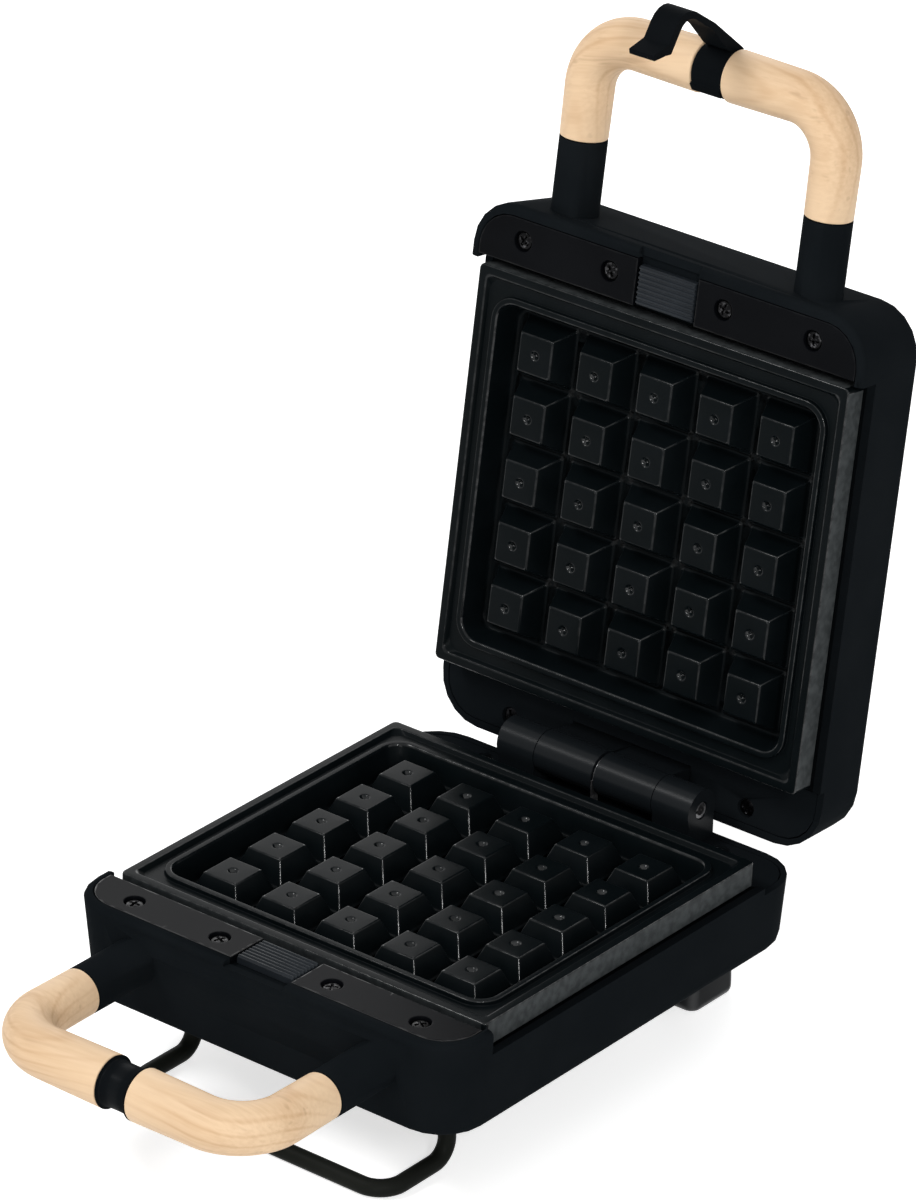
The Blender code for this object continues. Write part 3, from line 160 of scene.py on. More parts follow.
MM = 0.001
SMOOTH_BELOW = math.radians(32)
JOINED_WITHIN = 0.002 * MM


def new_finish(name, roughness, specular, metallic=0.0, coat_roughness=0.15):
    """A material with one Principled shader; returns it, the shader, and the place on the piece."""
    material = bpy.data.materials.new(name)
    material.use_nodes = True
    shader = material.node_tree.nodes["Principled BSDF"]
    shader.inputs["Roughness"].default_value = roughness
    shader.inputs["Specular IOR Level"].default_value = specular
    shader.inputs["Metallic"].default_value = metallic
    shader.inputs["Coat Roughness"].default_value = coat_roughness
    place = Amount(shader.outputs[0]).node("TexCoord", output=3)
    return material, shader, place


def feed(shader, **links):
    """Links amounts to sockets of the shader, named with an underscore for each space."""
    for name, amount in links.items():
        shader.id_data.links.new(amount.socket, shader.inputs[name.replace("_", " ")])


def faces_between(rows, across, start):
    """Corner numbers of the faces between neighbouring rows, where each row closes on itself."""
    row = np.arange(rows - 1)[:, None] * across
    column = np.arange(across)[None, :]
    after = (column + 1) % across
    corners = [row + column, row + after, row + across + after, row + across + column]
    return np.stack(corners, axis=-1).reshape(-1, 4) + start


def solid(name, skins, place=Matrix.Identity(4)):
    """Object of closed skins. A skin is rows of points: each row closes on itself, and the first and the last
    are drawn to a point or a line. A fourth number at a point marks how much of an edge it is. Place takes
    the half frame, in millimetres, to the maker's."""
    points, faces, start = [], [], 0
    for skin in skins:
        rows, across, columns = skin.shape
        points.append(np.pad(skin, ((0, 0), (0, 0), (0, 4 - columns))).reshape(-1, 4))
        faces.append(faces_between(rows, across, start))
        start += rows * across
    points = np.concatenate(points)
    turn, shift = np.array(place)[:3, :3], np.array(place)[:3, 3]
    mesh = bpy.data.meshes.new(name)
    places = (points[:, :3] @ turn.T + shift) * MM
    mesh.from_pydata(places.tolist(), [], np.concatenate(faces).tolist())
    mesh.attributes.new("edge", "FLOAT", "POINT").data.foreach_set("value", points[:, 3])
    return dressed(name, mesh)


def dressed(name, mesh):
    """Object of a mesh with its doubles merged, its faces outwards, and shaded smooth except at edges."""
    shape = bmesh.new()
    shape.from_mesh(mesh)
    bmesh.ops.remove_doubles(shape, verts=shape.verts, dist=JOINED_WITHIN)
    bmesh.ops.recalc_face_normals(shape, faces=shape.faces)
    shape.to_mesh(mesh)
    shape.free()
    mesh.shade_smooth()
    mesh.set_sharp_from_angle(angle=SMOOTH_BELOW)
    item = bpy.data.objects.new(name, mesh)
    bpy.context.scene.collection.objects.link(item)
    return item


def capped(rows):
    """Rows with both ends closed: one more row at each end, drawn in to the middle of the end row."""
    first, last = (np.broadcast_to(row.mean(axis=0), row.shape)[None] for row in (rows[0], rows[-1]))
    return np.concatenate([first, rows, last])


def boxes(half_x, half_y, radius, z, edge=0.0, corner=0.0, steps=6):
    """Rounded rectangles about the Z axis, a row for each size: each corner is a quarter circle. A point's
    mark is that of its row, or the corner's times sin^2 of twice the angle where that is more."""
    values = np.broadcast_arrays(*(np.atleast_1d(v) for v in (half_x, half_y, radius, z, edge, corner)))
    half_x, half_y, radius, z, edge, corner = (v[:, None] for v in values)
    quarter = np.arange(4)[:, None] * np.pi / 2
    turn = (quarter + np.linspace(0, np.pi / 2, steps + 1)).ravel()
    side_x = np.repeat([1, -1, -1, 1], steps + 1)
    side_y = np.repeat([1, 1, -1, -1], steps + 1)
    x = side_x * (half_x - radius) + radius * np.cos(turn)
    y = side_y * (half_y - radius) + radius * np.sin(turn)
    mark = np.maximum(edge, corner * np.sin(2 * turn) ** 2)
    return np.stack([x, y, np.broadcast_to(z, x.shape), mark], axis=-1)


half_table = TABLE_SIZE / 2
table = solid("table", [capped(boxes(half_table, half_table, TABLE_THICKNESS, [-TABLE_THICKNESS, 0.0]))])
white, shader, place = new_finish("table_white", roughness=0.7, specular=0.2)
shader.inputs["Base Color"].default_value = (TABLE_COLOUR, TABLE_COLOUR, TABLE_COLOUR, 1)
shader.inputs["Emission Color"].default_value = (1, 1, 1, 1)
feed(shader, Emission_Strength=place.shown_white() * TABLE_GLOW)
table.data.materials.append(white)

bpy.context.scene.view_settings.view_transform = "Standard"


# Casings: each half is one moulding of matt black plastic, with its handle arms and hinge knuckles. The
# barrel's outer knuckles are on the base and its inner ones on the lid, and turning keeps them smooth.
STAND_HEIGHT = 56.9
FRAME_MIDDLE = -7.031149
HINGE_Y, HINGE_Z = 77.1, 0.05
OPEN_ANGLE = math.radians(98.09)
CLOSED_GAP = 1.5
BARREL_RADIUS, BARREL_SLACK = 6.7, 0.2
BARREL_WEAR = 0.6
FLAT_WITHIN = math.radians(0.3)
BLACK = (0.0062, 0.0079, 0.0094, 1)
BLACK_WORN = (0.0083, 0.0102, 0.0119, 1)

BASE = Matrix.Translation((0, -FRAME_MIDDLE, STAND_HEIGHT))
LID = (BASE @ Matrix.Translation((0, HINGE_Y, HINGE_Z)) @ Matrix.Rotation(-OPEN_ANGLE, 4, "X")
       @ Matrix.Translation((0, -HINGE_Y, CLOSED_GAP - HINGE_Z)) @ Matrix.Rotation(math.pi, 4, "Y"))
HALVES = (("base", BASE), ("lid", LID))


def moulded(name, dark, light, roughness, specular, grain, depth, coat=0.0):
    """Moulded plastic: a fine spark-eroded grain, slow changes of its colour, and more gloss on the edges,
    where hands and cloths have rubbed it."""
    material, shader, place = new_finish(name, roughness, specular, coat_roughness=0.25)
    cloud = place.node("TexNoise", values={"Vector": place, "Scale": 35.0, "Detail": 3.0})
    spark = place.node("TexNoise", values={"Vector": place, "Scale": grain, "Detail": 2.0})
    edge = place.node("Attribute", {"attribute_name": "edge"}, output=2)
    bump = place.node("Bump", values={"Height": spark, "Strength": 0.35, "Distance": depth * MM})
    feed(shader, Base_Color=cloud.clamped(0.3, 0.75).between(dark, light),
         Roughness=roughness - 0.05 + cloud * 0.1, Coat_Weight=edge * coat, Normal=bump)
    return material


def finished(item, finish, body, node):
    """Gives a piece its finish, its body and the node that it stands for."""
    item.data.materials.clear()
    item.data.materials.append(finish)
    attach(item, body)
    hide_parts(node)


def joined_copy(name, node):
    """Copy of a CAD node's mesh with its loose triangles joined and its flat faces made whole."""
    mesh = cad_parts[node].data.copy()
    shape = bmesh.new()
    shape.from_mesh(mesh)
    bmesh.ops.remove_doubles(shape, verts=shape.verts, dist=JOINED_WITHIN / 2)
    bmesh.ops.dissolve_limit(shape, angle_limit=FLAT_WITHIN, verts=shape.verts, edges=shape.edges)
    shape.to_mesh(mesh)
    shape.free()
    return dressed(name, mesh)


def polished_barrel(mesh):
    """Marks the points of the barrel, which are those within its radius of the hinge's axis."""
    places = np.empty(len(mesh.vertices) * 3)
    mesh.vertices.foreach_get("co", places)
    away = places.reshape(-1, 3)[:, 1:] / MM - np.array((HINGE_Y - FRAME_MIDDLE, HINGE_Z + STAND_HEIGHT))
    near = np.linalg.norm(away, axis=1) < BARREL_RADIUS + BARREL_SLACK
    mesh.attributes.new("edge", "FLOAT", "POINT").data.foreach_set("value", near * BARREL_WEAR)


shell_black = moulded("shell_black", BLACK, BLACK_WORN, roughness=0.58, specular=0.002,
                      grain=2600.0, depth=0.02, coat=0.35)
for half, _ in HALVES:
    casing = joined_copy(half + "_shell", half + "_casing")
    polished_barrel(casing.data)
    finished(casing, shell_black, half, half + "_casing")


# Waffle plates: cast aluminium with a black non-stick coat. Each has 25 tapered blocks with a dimple, a
# raised bead, a groove and a rim whose skirt drops outside, and it lifts out when its button is pressed.
CELLS = 5
PITCH = (22.0, 19.9)
BLOCK_TOP, BLOCK_BASE, BLOCK_SINK, FLOOR = 11.9, 18.1, -0.6, -8.1
BLOCK_ROUND, BLOCK_FILLET = 0.55, 1.0
BLOCK_CORNER_TOP, BLOCK_CORNER_BASE, BLOCK_CORNER_FOOT = 0.45, 0.7, 3.0
BLOCK_FOOT_SUNK = 0.6
TOP_MARK, FILLET_MARK = 0.4, 0.3
DIMPLE_RADIUS, DIMPLE_DEPTH = 1.75, 1.6
CAVITY = (59.0, 53.1)
PLATE = (67.25, 62.5)
BEAD_WIDTH, CAVITY_CORNER, CAVITY_TAPER = 2.0, 6.0, 2.2
GROOVE_DEPTH, RIM_WIDTH, SKIRT, PLATE_BOTTOM = 1.6, 2.9, 7.65, -10.5
PLATE_WALL = 1.8
FLOOR_INSET = 12.0
LUG_HALF, LUG_ROUND, LUG_HEIGHTS, LUG_OUT = (7.5, 1.2), 0.3, (-7.65, -6.75), 0.2
SKIRT_MARK, SKIRT_NEAR = 2.0, 0.02
# Grey on the front and back skirts of each half: thin coat, and on the lid's front also a painted highlight
# line.
FRONT_SKIRT_WEAR_AND_HIGHLIGHT = {"base": 1.45, "lid": 2.0}
COATING = (0.0018, 0.0032, 0.0038, 1)
COATING_LIGHT = (0.0048, 0.0066, 0.0078, 1)
# Mottled grey of thin coat on the skirts; on the lid's front skirt it is a painted highlight line.
COATING_WORN_AND_HIGHLIGHT = (0.058, 0.064, 0.066, 1)


def eased(corners, trims, marks=0.0, steps=4):
    """Chain with its corners rounded: from a trim before a corner to a trim after it runs the curve
    (1-t)^2 before + 2t(1-t) corner + t^2 after. The last column is the mark times 4t(1-t)."""
    corners = np.asarray(corners, float)
    corner, back, ahead = corners[1:-1], corners[:-2] - corners[1:-1], corners[2:] - corners[1:-1]
    trim, mark = (np.broadcast_to(v, len(corner))[:, None] for v in (trims, marks))
    before = corner + back / np.linalg.norm(back, axis=1, keepdims=True) * trim
    after = corner + ahead / np.linalg.norm(ahead, axis=1, keepdims=True) * trim
    t = np.linspace(0, 1, steps + 1)[None, :, None]
    arcs = (1 - t) ** 2 * before[:, None] + 2 * t * (1 - t) * corner[:, None] + t ** 2 * after[:, None]
    arcs = np.concatenate([arcs, 4 * t * (1 - t) * mark[:, None]], axis=2).reshape(-1, corners.shape[1] + 1)
    ends = np.pad(corners[[0, -1]], ((0, 0), (0, 1)))
    return np.concatenate([ends[:1], arcs, ends[1:]])


def block_skin():
    """One waffle block: rows of rounded squares from the middle of its dimple, where the depth follows half
    a cosine, out over the flat top, down the sloping side and through a fillet to below the floor."""
    share = np.linspace(0, 1, 9)
    dimple = np.stack([share * DIMPLE_RADIUS, share * DIMPLE_RADIUS,
                       BLOCK_SINK - DIMPLE_DEPTH * (1 + np.cos(np.pi * share)) / 2, np.sin(np.pi * share),
                       np.zeros(len(share))], axis=1)
    top, base = BLOCK_TOP / 2, BLOCK_BASE / 2
    side = eased([(DIMPLE_RADIUS + 0.2, DIMPLE_RADIUS, BLOCK_SINK), (top, BLOCK_CORNER_TOP, BLOCK_SINK),
                  (base, BLOCK_CORNER_BASE, FLOOR), (base + 2 * BLOCK_FILLET, BLOCK_CORNER_FOOT, FLOOR)],
                 (BLOCK_ROUND, BLOCK_FILLET), (TOP_MARK, 0.0), 6)
    side = np.column_stack([side, np.ones(len(side))])
    side[:2, 4], side[-7:, 4] = 0, FILLET_MARK
    foot = (base + 2 * BLOCK_FILLET, BLOCK_CORNER_FOOT + 0.2, FLOOR - BLOCK_FOOT_SUNK, 0.0, 0.0)
    half, radius, z, edge, corner = np.concatenate([dimple, side, [foot]]).T
    return capped(boxes(half, half, np.maximum(radius, 1e-4), z, edge, corner, 7))


def pan_skin(front_wear_and_highlight):
    """The plate without its blocks: rounded rectangles through the section from the floor's underside round
    the skirt, rim, groove and bead to the cavity's floor, with every corner of the section eased. The outside
    of the skirt has marks of its own, which grey it; the front and back get their own amount, whose full grey
    on the lid is a painted highlight line."""
    cavity_x, cavity_y = CAVITY
    plate_x, plate_y = PLATE
    under = -GROOVE_DEPTH - PLATE_WALL
    low_x, low_y = cavity_x - CAVITY_TAPER, cavity_y - CAVITY_TAPER
    bead = CAVITY_CORNER + BEAD_WIDTH
    section = np.array((
        # half width, half depth, corner radius, height, easing, edge mark
        (low_x + PLATE_WALL, low_y + PLATE_WALL, CAVITY_CORNER, PLATE_BOTTOM, 0.4, 0),
        (cavity_x + PLATE_WALL, cavity_y + PLATE_WALL, CAVITY_CORNER, under, 0.4, 0),
        (plate_x - PLATE_WALL, plate_y - PLATE_WALL, 1.2, under, 0.4, 0),
        (plate_x - PLATE_WALL, plate_y - PLATE_WALL, 1.2, -SKIRT, 0.2, 0),
        (plate_x, plate_y, 1.6, -SKIRT, 0.5, 0.8),
        (plate_x, plate_y, 1.6, 0.0, 0.7, 1.0),
        (plate_x - RIM_WIDTH, plate_y - RIM_WIDTH, 2.0, 0.0, 0.7, 0.5),
        (plate_x - RIM_WIDTH - 0.8, plate_y - RIM_WIDTH - 0.8, 4.5, -GROOVE_DEPTH, 0.5, 0),
        (cavity_x + BEAD_WIDTH, cavity_y + BEAD_WIDTH, bead, -GROOVE_DEPTH, 0.5, 0),
        (cavity_x + BEAD_WIDTH, cavity_y + BEAD_WIDTH, bead, 0.0, 0.7, 0.8),
        (cavity_x, cavity_y, CAVITY_CORNER, 0.0, 0.9, 0.8),
        (low_x, low_y, CAVITY_CORNER - 1.5, FLOOR, 1.4, 0),
    ))
    ends = [(low_x - FLOOR_INSET, low_y - FLOOR_INSET, 3.0, height) for height in (PLATE_BOTTOM, FLOOR)]
    chain = np.concatenate([ends[:1], section[:, :4], ends[1:]])
    half_x, half_y, radius, z, edge = eased(chain, section[:, 4], section[:, 5], 5).T
    rows = boxes(half_x, half_y, radius, z, edge, 0.0, 9)
    beside_x, beside_y = np.moveaxis(np.abs(rows[..., :2]) - PLATE, -1, 0) > -SKIRT_NEAR
    rows[..., 3] = np.where(beside_x, SKIRT_MARK, np.where(beside_y, front_wear_and_highlight, rows[..., 3]))
    return capped(rows)


def coated(name):
    """Non-stick coat: fine grain, cloudy wear, a brighter gloss where the edges are rubbed, and a mottled
    grey where it is thin on the outside of the skirt. On the lid's front skirt this grey is stronger and is a
    painted highlight line."""
    material, shader, place = new_finish(name, roughness=0.36, specular=0.038, coat_roughness=0.08)
    cloud = place.node("TexNoise", values={"Vector": place, "Scale": 55.0, "Detail": 4.0})
    speckle = place.node("TexNoise", values={"Vector": place, "Scale": 1900.0, "Detail": 2.0})
    patch = place.node("TexNoise", values={"Vector": place, "Scale": 420.0, "Detail": 4.0})
    edge = place.node("Attribute", {"attribute_name": "edge"}, output=2)
    skirt = edge.clamped(0.5 * SKIRT_MARK, SKIRT_MARK)
    rubbed = edge.math("MINIMUM", edge, 1.0) * (1.0 - skirt) * (0.45 + patch.clamped(0.35, 0.65) * 0.55)
    fleck = speckle.clamped(0.62, 0.72)
    grain = speckle + patch * 0.5
    bump = place.node("Bump", values={"Height": grain, "Strength": 0.25, "Distance": 0.03 * MM})
    colour = (cloud.clamped(0.35, 0.75) * 0.5 + fleck * 0.2 + rubbed * 0.3).between(COATING, COATING_LIGHT)
    colour = (skirt * (0.55 + patch.clamped(0.3, 0.7) * 0.45)).between(colour, COATING_WORN_AND_HIGHLIGHT)
    feed(shader, Base_Color=colour, Roughness=0.31 + cloud * 0.1 + skirt * 0.15, Coat_Weight=rubbed * 0.9,
         Normal=bump)
    return material


coating = coated("non_stick")
middle = (CELLS - 1) / 2
columns, lines = np.meshgrid(np.arange(CELLS) - middle, np.arange(CELLS) - middle)
centres = np.stack([columns.ravel() * PITCH[0], lines.ravel() * PITCH[1], *np.zeros((2, CELLS ** 2))], axis=1)
lug = capped(boxes(*LUG_HALF, LUG_ROUND, LUG_HEIGHTS)) + (0, -PLATE[1] - LUG_OUT, 0, 0)
blocks = block_skin() + centres[:, None, None]
for half, place in HALVES:
    plate = solid(half + "_plate_casting", [pan_skin(FRONT_SKIRT_WEAR_AND_HIGHLIGHT[half]), lug, *blocks], place)
    finished(plate, coating, half + "_plate", half + "_waffle_plate")


# Strips beside the plates: plastic covers for the casing's ledges. The front one is in two satin black
# halves, each with two sunk screws, and the rear one is matt as the casing is and notched for the hinge.
STRIP_X = (11.0, 68.4)
STRIP_Y = (-79.6, -65.2)
STRIP_CORNER, STRIP_EDGE, STRIP_THICKNESS = 11.5, 0.35, 2.4
STRIP_SCREWS = (20.65, 52.6)
STRIP_SCREW_Y = -73.0
SEAT_RADIUS, SEAT_DEPTH = 3.15, 1.8
SEAT_SECTION = (
    # radius and height, from the flat top round the eased edge of the screw's seat to its middle
    (SEAT_RADIUS + 0.5, 0.0), (SEAT_RADIUS + 0.25, 0.0), (SEAT_RADIUS + 0.08, -0.07),
    (SEAT_RADIUS, -0.25), (SEAT_RADIUS, -SEAT_DEPTH), (0.0, -SEAT_DEPTH),
)
SATIN = (0.0015, 0.0018, 0.0025, 1)
SATIN_LIGHT = (0.0030, 0.0034, 0.0044, 1)
STRIP_WEAR = {"base": 1.0, "lid": 0.2}


def strip_outline(inset, across=13, corner_steps=12):
    """Outline of the right strip, drawn in: points along each straight side, and a quarter circle at the
    outer front corner. Returns the front, outer, back and inner parts, anticlockwise from the inner front."""
    x0, x1 = STRIP_X[0] + inset, STRIP_X[1] - inset
    y0, y1 = STRIP_Y[0] + inset, STRIP_Y[1] - inset
    radius = STRIP_CORNER - inset
    turn = np.linspace(-np.pi / 2, 0, corner_steps + 1)
    corner = np.stack([x1 - radius + radius * np.cos(turn), y0 + radius + radius * np.sin(turn)], axis=1)
    middle_x = np.mean(STRIP_SCREWS)
    front = [np.linspace((a, y0), (b, y0), across)[:-1] for a, b in ((x0, middle_x), (middle_x, x1 - radius))]
    back = [np.linspace((a, y1), (b, y1), across)[:-1] for a, b in ((x1, middle_x), (middle_x, x0))]
    outer = np.linspace(corner[-1], (x1, y1), 4)[1:-1]
    inner = np.linspace((x0, y1), (x0, y0), across)[:-1]
    return front, np.concatenate([corner, outer]), back, inner


def strip_skins():
    """The right strip: round each screw a fan of faces from its seat to the points of its half's outline,
    a wall down the outline with an eased edge, and a flat underside."""
    front, outer, back, inner = strip_outline(STRIP_EDGE)
    seam = np.linspace(front[1][0], back[1][0], 9)
    halves = (np.concatenate([front[0], seam[:-1], back[1], inner]),
              np.concatenate([front[1], outer, back[0], seam[::-1][:-1]]))
    skins = []
    for x, edge in zip(STRIP_SCREWS, halves):
        centre = np.array([x, STRIP_SCREW_Y])
        arm = edge - centre
        arm /= np.linalg.norm(arm, axis=1, keepdims=True)
        rings = [(edge, 0.0), (edge - arm * STRIP_EDGE, 0.0)]
        rings += [(centre + arm * radius, z) for radius, z in SEAT_SECTION]
        skins.append(np.stack([np.column_stack([ring, np.full(len(ring), z)]) for ring, z in rings]))
    rows = []
    for inset, z, mark in ((STRIP_EDGE, 0.0, 0.5), (STRIP_EDGE * 0.3, -STRIP_EDGE * 0.3, 1.0),
                           (0.0, -STRIP_EDGE, 0.5), (0.0, -STRIP_THICKNESS, 0.0)):
        front, outer, back, inner = strip_outline(inset)
        edge = np.concatenate([*front, outer, *back, inner])
        rows.append(np.column_stack([edge, np.full(len(edge), z), np.full(len(edge), mark)]))
    rows.append(np.broadcast_to(rows[-1].mean(axis=0), rows[-1].shape))
    return skins + [np.stack(rows)]


satin = moulded("strip_satin", SATIN, SATIN_LIGHT, roughness=0.40, specular=0.03,
                grain=3200.0, depth=0.012, coat=1.0)
for half, place in HALVES:
    for side, mirror in (("right", 1), ("left", -1)):
        skins = [skin * ((mirror, 1, 1, STRIP_WEAR[half])[:skin.shape[-1]]) for skin in strip_skins()]
        strip = solid(f"{half}_strip_{side}", skins, place)
        finished(strip, satin, half, f"{half}_front_strip_{side}")
    strip = joined_copy(half + "_hinge_strip", half + "_rear_strip")
    finished(strip, shell_black, half, half + "_rear_strip")


# Release buttons: grey moulded plastic with eight finger ribs, in the middle of each front strip. Each slides
# towards the handle in a slot of the casing, and its tongue then lets go of the plate.
BUTTON_X, BUTTON_Y = 10.2, (-77.8, -66.0)
BUTTON_TOP, BUTTON_BOTTOM = 0.3, -2.4
BUTTON_RIBS, RIB_DEPTH = 8, 0.5
BUTTON_GREY = (0.010, 0.0125, 0.0155, 1)
BUTTON_LIGHT = (0.019, 0.023, 0.028, 1)
RIB_SQUARENESS, RIB_STEPS = 2.2, 12
END_RIB_DROP = 0.15
BUTTON_ENDS = (
    # share of the half width, and how far the top lies lower there
    (1.0, 0.0), (1.0, 0.45), (0.985, 0.15), (0.955, 0.0),
)


def button_skin():
    """Button carried along X: its top is a row of ribs whose height follows a squared-off cosine, and its
    ends are eased and close on a line at half height."""
    y = np.linspace(BUTTON_Y[0], BUTTON_Y[1], BUTTON_RIBS * RIB_STEPS + 1)
    phase = (y - BUTTON_Y[0]) / (BUTTON_Y[1] - BUTTON_Y[0]) * BUTTON_RIBS
    wave = np.cos(2 * np.pi * (phase - 0.5))
    top = BUTTON_TOP - RIB_DEPTH * (1 - np.tanh(RIB_SQUARENESS * wave) / np.tanh(RIB_SQUARENESS)) / 2
    top[0] = top[-1] = BUTTON_TOP - RIB_DEPTH - END_RIB_DROP
    middle_z = (BUTTON_TOP + BUTTON_BOTTOM) / 2
    stations = [(-share * BUTTON_X, drop) for share, drop in BUTTON_ENDS]
    stations += [(share * BUTTON_X, drop) for share, drop in reversed(BUTTON_ENDS)]
    rows = []
    for place_x, drop in stations:
        upper = np.column_stack([np.full(len(y), place_x), y, top - drop])
        under = np.column_stack([np.full(len(y), place_x), y[::-1], np.full(len(y), BUTTON_BOTTOM)])
        rows.append(np.concatenate([upper, under]))
    rows[0][:, 2] = rows[-1][:, 2] = middle_z
    return np.stack(rows)


ribbed = moulded("button_grey", BUTTON_GREY, BUTTON_LIGHT, roughness=0.45, specular=0.12,
                 grain=2600.0, depth=0.012)
for half, place in HALVES:
    cap = solid(half + "_button_cap", [button_skin()], place)
    finished(cap, ribbed, half + "_button", half + "_release_button")


# Springs: one wound of spring steel wire behind each button, which pushes it back out. They stay as the CAD
# has them, in bright steel.
STEEL = (0.42, 0.42, 0.43, 1)
STEEL_LIGHT = (0.62, 0.62, 0.63, 1)


def kept(finish, *names):
    """Gives nodes that stay as the CAD has them their finish, on the object and not on its mesh."""
    for name in names:
        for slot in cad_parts[name].material_slots:
            slot.link = "OBJECT"
            slot.material = finish


def sheet_steel(name, colour, light, roughness):
    """Bright sheet or drawn steel with a fine brushed grain along X."""
    material, shader, place = new_finish(name, roughness, specular=0.5, metallic=1.0)
    fitted = place.node("VectorMath", {"operation": "MULTIPLY"},
                        {"Vector": place, "Vector_001": (40, 2200, 2200)})
    brushed = place.node("TexNoise", values={"Vector": fitted, "Scale": 1.0, "Detail": 3.0})
    bump = place.node("Bump", values={"Height": brushed, "Strength": 0.15, "Distance": 0.02 * MM})
    feed(shader, Base_Color=brushed.between(colour, light),
         Roughness=roughness - 0.08 + brushed * 0.16, Normal=bump)
    return material


bright = sheet_steel("bright_steel", STEEL, STEEL_LIGHT, roughness=0.32)
kept(bright, "base_release_spring", "lid_release_spring")


# Strip screws: four hold each front strip and two each rear strip. They are of blackened steel, with a domed
# head and a cross recess, and no two were tightened to the same turn.
HEAD_RADIUS, HEAD_DOME, HEAD_HEIGHT, HEAD_ROUND = 2.5, 0.3, 1.0, 0.25
CROSS_LENGTH, CROSS_WIDTH, CROSS_DEPTH = 3.4, 0.75, 0.8
SCREW_TOP = -0.55
FIRST_TURN, NEXT_TURN = 0.4, 1.1
REAR_SCREWS = ((-44.2, 76.6), (44.2, 76.6))
REAR_TOP = -10.2
SCREW_BLACK = (0.004, 0.004, 0.0045, 1)
SCREW_BRIGHT = (0.10, 0.10, 0.105, 1)
# Rear screws: a darker copy of the same blackened steel, which is painted shade on the screws behind the
# plates.
REAR_SHADED_BLACK = (0.004, 0.004, 0.005, 1)
REAR_SHADED_BARE = (0.03, 0.03, 0.032, 1)


def screw_skin(turn):
    """Screw head: height over the disc is a shallow dome, less a cross whose two arms fade at their edges,
    then a rounded rim down to the head's underside."""
    rim = [HEAD_RADIUS - 0.07, HEAD_RADIUS, HEAD_RADIUS]
    radius = np.concatenate([np.linspace(0, HEAD_RADIUS - HEAD_ROUND, 22), rim])
    angle = np.linspace(0, 2 * np.pi, 72, endpoint=False)
    r, a = np.meshgrid(radius, angle, indexing="ij")
    u, v = np.abs(r * np.cos(a + turn)), np.abs(r * np.sin(a + turn))
    long, short = np.maximum(u, v), np.minimum(u, v)
    arm = np.clip((CROSS_WIDTH / 2 - short) / 0.12 + 0.5, 0, 1)
    arm = arm * np.clip((CROSS_LENGTH / 2 - long) / 0.3 + 0.5, 0, 1)
    z = -HEAD_DOME * (r / HEAD_RADIUS) ** 2 - CROSS_DEPTH * arm * (1 - 0.5 * long / CROSS_LENGTH)
    z[-3:] = np.array([-HEAD_DOME, -HEAD_DOME - 0.18, -HEAD_HEIGHT])[:, None]
    return capped(np.stack([r * np.cos(a), r * np.sin(a), z], axis=-1))


def blackened(name, dark, bare):
    """Blackened steel, worn to bare metal in spots."""
    material, shader, place = new_finish(name, roughness=0.3, specular=0.5, metallic=0.9)
    worn = place.node("TexNoise", values={"Vector": place, "Scale": 900.0, "Detail": 3.0})
    feed(shader, Base_Color=worn.clamped(0.5, 0.78).between(dark, bare),
         Roughness=0.22 + worn * 0.2)
    return material


screw_finish = blackened("screw_steel", SCREW_BLACK, SCREW_BRIGHT)
# The darker copy for the rear screws is painted shade.
rear_shaded_finish = blackened("rear_screw_painted_shade", REAR_SHADED_BLACK, REAR_SHADED_BARE)
for half, place in HALVES:
    spots = [(side * x, STRIP_SCREW_Y, SCREW_TOP) for side in (-1, 1) for x in STRIP_SCREWS]
    names = [f"{half}_strip_screw_{index + 1}" for index in range(4)]
    spots += [(x, y, REAR_TOP + SCREW_TOP) for x, y in REAR_SCREWS]
    names += [f"{half}_rear_screw_{index + 1}" for index in range(2)]
    for index, (spot, name) in enumerate(zip(spots, names)):
        head = solid(name + "_head", [screw_skin(FIRST_TURN + NEXT_TURN * index) + spot], place)
        finished(head, rear_shaded_finish if "rear" in name else screw_finish, half, name)


# Hinge: a slotted spring pin of rolled steel, driven through the four knuckles, and a steel washer with a tab
# in the seam between the two inner ones.
PIN_DARK = (0.16, 0.16, 0.165, 1)
PIN_BRIGHT = (0.50, 0.50, 0.51, 1)

pin_finish = blackened("pin_steel", PIN_DARK, PIN_BRIGHT)
for name in ("hinge_pin", "hinge_washer"):
    item = joined_copy(name + "_steel", name)
    finished(item, pin_finish, "base", name)


# Grips: each is two bent pieces of sanded, oiled beech, pushed on to the arms and joined by a dowel under the
# ring or the latch band. Each piece is cut from its own board, so its grain has a turn of its own.
ARM_X, BAR_Y, ARM_END, HANDLE_DROP = 44.3, -137.5, -105.3, 12.5
BEND, ARM_RADIUS, BAR_RADIUS, GRIP_EDGE = 16.0, 7.25, 8.0, 0.5
JOINT_GAP, RING_HALF = 0.3, 5.2
RING_X = {"base": 1.0, "lid": -1.0}
BEECH = (0.61, 0.38, 0.205, 1)
BEECH_PALE = (0.85, 0.62, 0.40, 1)
BEECH_DARK = (0.38, 0.21, 0.10, 1)
RINGS_PER_METRE = 260.0


def bent_path(corners, radii, steps=16):
    """Path through corners with a true arc of the radius at each, and the direction at every point."""
    corners = np.asarray(corners, float)
    points, ways = [corners[0]], [corners[1] - corners[0]]
    for before, corner, after, radius in zip(corners, corners[1:], corners[2:], radii):
        back, ahead = before - corner, after - corner
        back, ahead = back / np.linalg.norm(back), ahead / np.linalg.norm(ahead)
        half = np.arccos(back @ ahead) / 2
        inward = (back + ahead) / np.linalg.norm(back + ahead)
        centre = corner + inward * radius / np.sin(half)
        reach = np.pi / 2 - half
        turn = np.linspace(-reach, reach, steps + 1)[:, None]
        along = (ahead - back) / np.linalg.norm(ahead - back)
        points.extend(centre + radius * (np.sin(turn) * along - np.cos(turn) * inward))
        ways.extend(np.cos(turn) * along + np.sin(turn) * inward)
    points.append(corners[-1])
    ways.append(corners[-1] - corners[-2])
    ways = np.array(ways)
    return np.array(points), ways / np.linalg.norm(ways, axis=1, keepdims=True)


